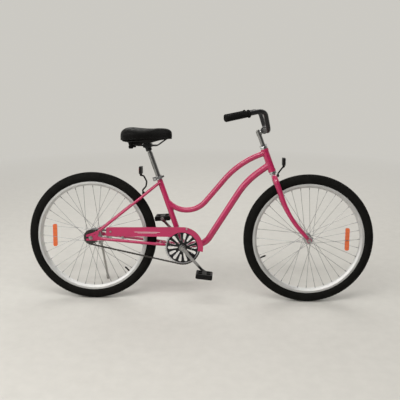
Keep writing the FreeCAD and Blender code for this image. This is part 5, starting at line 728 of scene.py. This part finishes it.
def saddle_line(along):
    """Half width, crest and underside (mm) along the saddle: a cubic through its table, whose slopes are
    the table's own differences, with the width rounded off to nothing and the crest lowered at both
    ends."""
    table = SADDLE_SHAPE
    slope = np.gradient(table[:, 1:], table[:, 0], axis=0)
    left = np.clip(np.searchsorted(table[:, 0], along, "right") - 1, 0, len(table) - 2)
    span = (table[left + 1, 0] - table[left, 0])[:, None]
    t = (along[:, None] - table[left, 0][:, None]) / span
    near, far = table[left, 1:], table[left + 1, 1:]
    value = (2 * t**3 - 3 * t**2 + 1) * near + (t**3 - 2 * t**2 + t) * span * slope[left]
    value = value + (3 * t**2 - 2 * t**3) * far + (t**3 - t**2) * span * slope[left + 1]
    ends = np.minimum(np.minimum(along / REAR_ROUND, (1 - along) / NOSE_ROUND), 1)
    rounded = np.sqrt(np.maximum(1 - (1 - ends) ** 2, 0))
    half = value[:, 0] * SADDLE_HALF_WIDTH * rounded
    low = SADDLE_LOW + value[:, 2] * SADDLE_HEIGHT
    crest = SADDLE_LOW + value[:, 1] * SADDLE_HEIGHT
    return half, low + (crest - low) * (1 - END_DROP + END_DROP * rounded), low


def crowded_ends(count):
    """Shares from 0 to 1, closer together towards both ends: half of one minus a cosine."""
    return (1 - np.cos(np.linspace(0, math.pi, count))) / 2


def saddle_surface():
    """The pad as sections along it, each widest at a share of its height: above that a superellipse of
    one power, and below it one of a squarer power that tucks in a little. The crest is lowered by the
    slack that the swelling takes up."""
    along = crowded_ends(PAD_ROWS)
    half, crest, low = saddle_line(along)
    crest = crest - PAD_SLACK
    turn = np.linspace(-math.pi / 2, 1.5 * math.pi, PAD_COLUMNS, endpoint=False)
    above = np.sin(turn) >= 0
    power = np.where(above, 2 / TOP_POWER, 2 / SIDE_POWER)
    wide = np.sign(np.cos(turn)) * np.abs(np.cos(turn)) ** power
    tall = np.abs(np.sin(turn)) ** power
    tuck = np.where(above, 1.0, 1 - TUCK * tall)
    side = low + WIDEST * (crest - low)
    over = side[:, None] + (crest - side)[:, None] * tall
    under = side[:, None] - (side - low)[:, None] * tall
    rise = np.where(above[None], over, under)
    x = np.broadcast_to((SADDLE_REAR + SADDLE_LENGTH * along)[:, None], rise.shape)
    points = np.stack([x, half[:, None] * (wide * tuck)[None], rise], -1)
    return points, grid_faces(PAD_ROWS, PAD_COLUMNS, False, True)


def swell(piece, pinned):
    """Cloth under pressure, with some points pinned: each point's move is capped, and that is kept."""
    start = np.empty(len(piece.data.vertices) * 3, np.float32)
    piece.data.vertices.foreach_get("co", start)
    start = start.reshape(-1, 3)
    group = piece.vertex_groups.new(name="pins")
    group.add(np.flatnonzero(pinned(start)).tolist(), 1.0, "REPLACE")
    cloth = piece.modifiers.new("swell", "CLOTH")
    cloth.settings.quality = 5
    cloth.settings.vertex_group_mass = "pins"
    cloth.settings.use_pressure = True
    cloth.settings.uniform_pressure_force = SWELL_PRESSURE
    cloth.settings.effector_weights.gravity = 0.0
    cloth.collision_settings.use_collision = False
    scene = bpy.context.scene
    for number in range(1, SWELL_STEPS + 1):
        scene.frame_set(number)
    swollen = piece.evaluated_get(bpy.context.evaluated_depsgraph_get())
    end = np.empty(start.size, np.float32)
    swollen.data.vertices.foreach_get("co", end)
    move = end.reshape(-1, 3) - start
    reach = np.linalg.norm(move, axis=1)[:, None]
    move = move * np.minimum(1, SWELL_CAP / np.maximum(reach, 1e-9))
    piece.modifiers.remove(cloth)
    piece.vertex_groups.remove(group)
    piece.data.vertices.foreach_set("co", (start + move).ravel())
    piece.data.update()
    scene.frame_set(1)


def make_saddle():
    """The padded cover: its surface remeshed evenly, swollen over its pinned foot, and subdivided."""
    points, faces = saddle_surface()
    piece = mesh_piece("saddle_pad", points, faces, saddle_vinyl, "seat")
    even = piece.modifiers.new("even", "REMESH")
    even.mode = "VOXEL"
    even.voxel_size = PAD_VOXEL
    even.use_smooth_shade = True
    smooth = piece.modifiers.new("smooth", "SMOOTH")
    smooth.factor, smooth.iterations = 0.5, 5
    shaped = piece.evaluated_get(bpy.context.evaluated_depsgraph_get())
    rough = piece.data
    piece.data = bpy.data.meshes.new_from_object(shaped)
    piece.data.name = "saddle_pad"
    piece.modifiers.clear()
    bpy.data.meshes.remove(rough)
    level = placed((SADDLE_REAR, 0.0, SADDLE_LOW + PINNED_SHARE * SADDLE_HEIGHT)) @ upward
    swell(piece, lambda spots: spots @ upward < level)
    finer = piece.modifiers.new("finer", "SUBSURF")
    finer.levels = finer.render_levels = 1
    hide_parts("saddle_cover")
    return piece


def evenly(path, count):
    """Points at even steps along a closed path."""
    closed = np.concatenate([path, path[:1]])
    far = np.concatenate([[0], np.cumsum(np.linalg.norm(np.diff(closed, axis=0), axis=1))])
    steps = np.arange(count) / count * far[-1]
    return np.stack([np.interp(steps, far, closed[:, axis]) for axis in range(3)], -1)


def saddle_rim(lift):
    """A closed path near the pad's side, in even steps: its half width along the right side to the nose
    and back along the left, at a lift above the underside."""
    along = crowded_ends(HALF_RIM_POINTS)
    half, _, low = saddle_line(along)
    x = SADDLE_REAR + SADDLE_LENGTH * along
    right = np.stack([x, -half, low + lift], -1)
    left = np.stack([x, half, low + lift], -1)
    return evenly(np.concatenate([right, left[-2:0:-1]]), RIM_STEPS)


def laid(path, piece, lift):
    """A closed path (mm) laid on a piece: each point goes to the plane at the piece's nearest vertex,
    square to its normal, and out by a lift. Then each becomes the mean of itself and two neighbours
    each way."""
    mesh = piece.data
    spots, normals = np.empty((2, len(mesh.vertices) * 3), np.float32)
    mesh.vertices.foreach_get("co", spots)
    mesh.vertex_normals.foreach_get("vector", normals)
    spots, normals = spots.reshape(-1, 3), normals.reshape(-1, 3)
    start = placed(path)
    near = np.argmin(np.linalg.norm(start[:, None] - spots[None], axis=-1), axis=1)
    away = np.sum((start - spots[near]) * normals[near], axis=1)[:, None]
    path = upright(start + (lift * MM - away) * normals[near])
    return sum(np.roll(path, shift, 0) for shift in range(-2, 3)) / 5


def along_and_side(path):
    """The direction along a closed path at each point, and the level direction across it."""
    along = unit(np.roll(path, -1, 0) - np.roll(path, 1, 0))
    return along, unit(np.cross(along, LEVEL_UP))


def make_saddle_piping(pad):
    """A vinyl bead round the pad's lower edge."""
    path = evenly(laid(saddle_rim(PIPING_LIFT), pad, PIPING_SINK), RIM_STEPS)
    along, side = along_and_side(path)
    points, faces = closed_bead(path, side, np.cross(side, along), PIPING_RADIUS, PIPING_SIDES)
    mesh_piece("saddle_piping", points, faces, saddle_vinyl, "seat")


def make_saddle_stitches(pad):
    """A row of short stitches above the piping. A stitch is a small bead whose thickness runs as the
    root of one minus the square of the way along it."""
    spots = evenly(laid(saddle_rim(STITCH_LIFT), pad, STITCH_RISE), STITCH_COUNT)
    along, side = (way[:, None, None, :] for way in along_and_side(spots))
    share = np.linspace(-1, 1, STITCH_RINGS)
    thick = STITCH_RADIUS * np.sqrt(np.maximum(1 - share**2, 0))
    ring = (thick[:, None, None] * ways(full_turn(STITCH_SIDES))[None])[None]
    points = spots[:, None, None, :] + STITCH_HALF * share[None, :, None, None] * along
    points = points + ring[..., 0:1] * side + ring[..., 1:2] * LEVEL_UP
    faces = grid_faces(STITCH_RINGS, STITCH_SIDES, False, True)
    faces = repeated(faces, STITCH_COUNT, STITCH_RINGS * STITCH_SIDES)
    mesh_piece("saddle_stitches", points, faces, grey_thread, "seat")


def make_saddle_shade_plates():
    """Two dark plates under the base, from the bumpers towards the clamp, put there as painted shade.
    Each is a plate whose lower edge follows the root of a sine along it, with a rounded section of power
    4."""
    share = np.linspace(0, 1, RIB_ROWS)
    hang = RIB_HANG * np.sqrt(np.maximum(np.sin(math.pi * share), 0))
    way = ways(full_turn(RIB_COLUMNS))
    wide, tall = (np.sign(way) * np.abs(way) ** 0.5).T
    x = np.broadcast_to((RIB_REAR + RIB_LENGTH * share)[:, None], (RIB_ROWS, RIB_COLUMNS))
    rise = RIB_TOP - hang[:, None] * (1 - tall[None]) / 2
    faces = grid_faces(RIB_ROWS, RIB_COLUMNS, False, True)
    for hand, side in (("left", RIB_SIDE), ("right", -RIB_SIDE)):
        points = np.stack([x, side + np.broadcast_to(RIB_HALF_WIDTH * wide, x.shape), rise], -1)
        # Painted shade: black plates that fill the space under the saddle's base
        mesh_piece("saddle_shade_rib_" + hand, points, faces, black_plastic, "seat")


saddle_pad = make_saddle()
make_saddle_piping(saddle_pad)
make_saddle_stitches(saddle_pad)
make_saddle_shade_plates()

# Caps: small turned forms, whose profiles give distance along the axis and radius

PEDAL_CAP = ((-0.6, 0), (-0.6, 7.6), (0.7, 7.6), (1.5, 7.1), (1.9, 6.0), (1.5, 5.2), (1.5, 3.0),
             (1.9, 2.2), (1.9, 0))
VALVE_CAP = ((0, 0), (0, 4.5), (7.5, 4.5), (8.2, 4.1), (8.6, 3.2), (11.0, 2.7), (11.5, 2.0), (11.6, 0))
BOSS = ((0, 0), (0, 5.4), (0.9, 6.2), (12.1, 6.2), (13.0, 5.4), (13.0, 0))
PEDAL_CAP_SIDES, VALVE_CAP_SIDES, BOSS_SIDES = 32, 24, 32
VALVE_REACH, FRONT_VALVE, REAR_VALVE = 246.0, math.radians(203.5), math.radians(315.0)
# Any direction that no turned form's axis has
OFF_AXIS = (0.31, 0.57, 0.76)


def make_turned(name, foot, axis, profile, sides, material, body):
    """A form turned about an axis: every point is the foot, plus the profile's distance along the axis,
    plus its radius in a direction across it. The profile's radius starts and ends at 0."""
    axis = unit(axis)
    first = unit(np.cross(axis, OFF_AXIS))
    profile = np.asarray(profile, float)
    way = ways(full_turn(sides))[None]
    across = way[..., 0:1] * first + way[..., 1:2] * np.cross(axis, first)
    points = np.asarray(foot) + profile[:, None, 0:1] * axis + profile[:, None, 1:2] * across
    mesh_piece(name, points, grid_faces(len(profile), sides, False, True), material, body)


def lateral_reach(node):
    """The least and greatest distance of a node's points to the bicycle's left (mm)."""
    mesh = nodes[node].data
    points = np.empty(len(mesh.vertices) * 3, np.float32)
    mesh.vertices.foreach_get("co", points)
    across = (points.reshape(-1, 3) - rear_axle) @ lateral / MM
    return across.min(), across.max()


for hand, side, end in (("right", -1, 0), ("left", 1, 1)):
    pedal = hand + "_pedal"
    foot = upright(pivots[pedal + "_spin"]["pos_m"])
    foot[1] = lateral_reach(pedal)[end]
    make_turned(pedal + "_cap", foot, side * ACROSS, PEDAL_CAP, PEDAL_CAP_SIDES, black_plastic, pedal)
VALVES = (("front", HALF_WHEELBASE, FRONT_VALVE), ("rear", -HALF_WHEELBASE, REAR_VALVE))
for end, centre_x, turn in VALVES:
    way = np.array([math.cos(turn), 0.0, math.sin(turn)])
    foot = np.array([centre_x, 0.0, AXLE_HEIGHT]) + VALVE_REACH * way
    make_turned(end + "_valve_cap", foot, -way, VALVE_CAP, VALVE_CAP_SIDES, black_plastic,
                end + "_wheel")

# Guard stripes: a pinstripe, and a painted highlight along the guard's top edge

STRIPE_FOOT, STRIPE_FACE = -59.9, -60.22
STRIPE_STEPS, STRIPE_END_STEPS = 60, 3.0
# Name, rear and front end and level, from the crank's centre, and half width
# The upper line is a painted highlight along the guard's top edge, the lower one a pinstripe
STRIPES = (("lower", -231.0, -129.0, 73.5, 0.7), ("upper", -247.0, -113.0, 79.0, 1.2))


def make_stripe(name, rear, front, level, half_width):
    """A thin raised line on the guard's outer face: a flat section carried along a level path. It
    narrows to nothing at both ends, as the root of the steps from the end over the end's own steps."""
    step = np.arange(STRIPE_STEPS)
    taper = np.sqrt(np.clip(np.minimum(step, step[::-1]) / STRIPE_END_STEPS, 0, 1))
    wide = half_width * taper[:, None] * np.array([-1.0, 1.0, 1.0, -1.0])
    deep = np.broadcast_to((STRIPE_FOOT, STRIPE_FOOT, STRIPE_FACE, STRIPE_FACE), wide.shape)
    x = np.broadcast_to(CRANK[0] + np.linspace(rear, front, STRIPE_STEPS)[:, None], wide.shape)
    points = np.stack([x, deep, CRANK[2] + level + wide], -1)
    faces = grid_faces(STRIPE_STEPS, 4, False, True)
    mesh_piece("guard_stripe_and_highlight_" + name, points, faces, stripe_and_highlight_paint, "frame")


for stripe in STRIPES:
    make_stripe(*stripe)

# Reflector lenses, and bosses on the reflectors' arms

FRONT_LENS, REAR_LENS = (430.87, 0, 730.57), (-312.69, 0, 679.64)
LENS_HALF_WIDTH, LENS_HALF_HEIGHT, LENS_DEPTH, LENS_SIDES, LENS_POWER = 23.0, 16.0, 2.2, 64, 6
FRONT_BOSS, REAR_BOSS = (423.9, -6.5, 706.5), (-305.7, -6.5, 655.6)


def make_lens(name, centre, facing, material, body):
    """A domed lens with rounded corners: rings of a squared circle, a superellipse of power 6, each with
    its share of the lens's size and of its depth."""
    turn = full_turn(LENS_SIDES)
    cosine, sine = np.cos(turn), np.sin(turn)
    square = (np.abs(cosine) ** LENS_POWER + np.abs(sine) ** LENS_POWER) ** (-1 / LENS_POWER)
    share = np.array([0.0, 1.0, 1.0, 0.97, 0.9, 0.75, 0.5, 0.25, 0.0])[:, None]
    rise = LENS_DEPTH * np.array([-0.4, -0.4, 0.25, 0.6, 0.8, 0.93, 0.98, 1.0, 1.0])[:, None]
    wide = share * LENS_HALF_WIDTH * square * cosine
    tall = share * LENS_HALF_HEIGHT * square * sine
    out = np.broadcast_to(facing * rise, wide.shape)
    points = np.stack([centre[0] + out, centre[1] + wide, centre[2] + tall], -1)
    faces = grid_faces(len(share), LENS_SIDES, False, True)
    mesh_piece(name, points, faces, material, body)


make_lens("front_reflector_lens", FRONT_LENS, 1, clear_lens, "fork")
make_lens("rear_reflector_lens", REAR_LENS, -1, red_lens, "frame")
for end, foot, body in (("front", FRONT_BOSS, "fork"), ("rear", REAR_BOSS, "frame")):
    make_turned(end + "_reflector_boss", foot, ACROSS, BOSS, BOSS_SIDES, black_plastic, body)

# Floor, light and camera, in metres

BACKDROP = (0.60, 0.585, 0.545)
FADE_START, FADE_END = 1.6, 4.0
FLOOR_RINGS = np.array([0.0001, 1.0, 3.0, 9.0, 30.0, 120.0])
FLOOR_SIDES = 96
# The darker room that glossy surfaces show, and the way towards it
ROOM, ROOM_WAY = (0.10, 0.098, 0.094), (0.5, -0.866, 0.0)
SOFT_LIGHT, SOFT_STRENGTH = (1.0, 0.985, 0.96, 1), 0.42
LAMP_AIM = (0, 0, 0.5)
# Name, place, width, height, watts and colour
LAMPS = (
    ("key", (-1.7, -2.6, 3.3), 4.2, 3.2, 78.0, (1.0, 0.98, 0.95)),
    ("side", (-3.1, -1.3, 1.9), 1.6, 2.4, 26.0, (0.98, 0.985, 1.0)),
    ("back", (0.4, 2.9, 2.7), 4.0, 2.0, 52.0, (1.0, 0.99, 0.97)),
    ("strip", (0.1, -1.7, 3.4), 3.2, 0.36, 40.0, (1.0, 0.99, 0.97)),
)
CAMERA_PLACE = (0.115, -3.028, 1.379)
# Yaw, pitch and roll in degrees, as fitted to the view, and the lens and its frame in millimetres
CAMERA_TURNS = (2.23, -16.04, -0.10)
CAMERA_LENS, CAMERA_FRAME = 54.0, 36.0


def make_floor():
    """A wide pale floor disc, as rings about the middle, whose colour fades into the background's away
    from the bicycle."""
    made = surface("pale_floor", BACKDROP, 0.75)
    speckle = ranged(made, cloudy(made, 18.0, 5.0), 0.97, 1.03)
    scaled = add(made, "ShaderNodeVectorMath", {0: BACKDROP, "Scale": speckle}, operation="SCALE")
    join(made, scaled.outputs["Vector"], "Base Color")
    glow = add(made, "ShaderNodeEmission", {"Color": (*BACKDROP, 1), "Strength": 1.0})
    spot = add(made, "ShaderNodeTexCoord").outputs["Object"]
    reach = add(made, "ShaderNodeVectorMath", {0: spot}, operation="LENGTH").outputs["Value"]
    far = ranged(made, reach, 0.0, 1.0, FADE_START, FADE_END)
    inputs = {0: far, 1: shader_of(made).outputs["BSDF"], 2: glow.outputs["Emission"]}
    both = add(made, "ShaderNodeMixShader", inputs)
    output = made.node_tree.nodes["Material Output"]
    made.node_tree.links.new(both.outputs["Shader"], output.inputs["Surface"])
    flat = FLOOR_RINGS[None, :, None] * ways(full_turn(FLOOR_SIDES))[:, None, :]
    points = np.concatenate([flat, np.zeros((*flat.shape[:2], 1))], -1)
    faces = grid_faces(FLOOR_SIDES, len(FLOOR_RINGS), True, False)[:, ::-1]
    mesh = bpy.data.meshes.new("floor")
    mesh.from_pydata(points.reshape(-1, 3).tolist(), [], faces.tolist())
    floor = bpy.data.objects.new("floor", mesh)
    bpy.context.scene.collection.objects.link(floor)
    mesh.materials.append(made)


def make_world():
    """Background: the floor's own pale colour to the camera and in reflections, where it darkens
    smoothly towards the room ahead and to the right of the bicycle, and an even soft light on the
    object."""
    world = bpy.data.worlds.new("studio")
    bpy.context.scene.world = world
    world.use_nodes = True
    world.node_tree.nodes.clear()
    way = add(world, "ShaderNodeTexCoord").outputs["Generated"]
    towards = add(world, "ShaderNodeVectorMath", {0: way, 1: ROOM_WAY}, operation="DOT_PRODUCT")
    room = ranged(world, towards.outputs["Value"], 0.0, 1.0, 0.0, 0.75)
    path = add(world, "ShaderNodeLightPath").outputs
    room = reckoned(world, room, "MULTIPLY", path["Is Glossy Ray"])
    colour = mixed(world, room, BACKDROP, ROOM)
    seen = add(world, "ShaderNodeBackground", {"Color": colour, "Strength": 1.0})
    lit = add(world, "ShaderNodeBackground", {"Color": SOFT_LIGHT, "Strength": SOFT_STRENGTH})
    shown = reckoned(world, path["Is Camera Ray"], "MAXIMUM", path["Is Glossy Ray"])
    shown = reckoned(world, shown, "MAXIMUM", path["Is Transmission Ray"])
    inputs = {0: shown, 1: lit.outputs["Background"], 2: seen.outputs["Background"]}
    both = add(world, "ShaderNodeMixShader", inputs).outputs["Shader"]
    add(world, "ShaderNodeOutputWorld", {"Surface": both})


def make_lamp(name, place, width, height, power, colour):
    """A soft rectangular lamp, aimed at the bicycle's middle."""
    lamp = bpy.data.lights.new(name, "AREA")
    lamp.shape = "RECTANGLE"
    lamp.size, lamp.size_y = width, height
    lamp.energy = power
    lamp.color = colour
    holder = bpy.data.objects.new(name, lamp)
    bpy.context.scene.collection.objects.link(holder)
    holder.location = place
    holder.rotation_euler = (Vector(LAMP_AIM) - Vector(place)).to_track_quat("-Z", "Y").to_euler()


def make_camera():
    """The photograph's view, from its fitted place, yaw, pitch and roll."""
    yaw, pitch, roll = (math.radians(angle) for angle in CAMERA_TURNS)
    turned = Matrix.Rotation(yaw, 3, "Z") @ Matrix.Rotation(pitch, 3, "X")
    turned = turned @ Matrix.Rotation(roll, 3, "Y")
    right, ahead, above = (turned.col[index] for index in range(3))
    held = Matrix((right, above, -ahead)).transposed().to_4x4()
    held.translation = Vector(CAMERA_PLACE)
    lens = bpy.data.cameras.new("camera")
    lens.lens, lens.sensor_width, lens.sensor_fit = CAMERA_LENS, CAMERA_FRAME, "HORIZONTAL"
    camera = bpy.data.objects.new("camera", lens)
    bpy.context.scene.collection.objects.link(camera)
    camera.matrix_world = held
    bpy.context.scene.camera = camera


make_floor()
make_world()
for lamp in LAMPS:
    make_lamp(*lamp)
make_camera()
bpy.context.scene.view_settings.view_transform = "Standard"
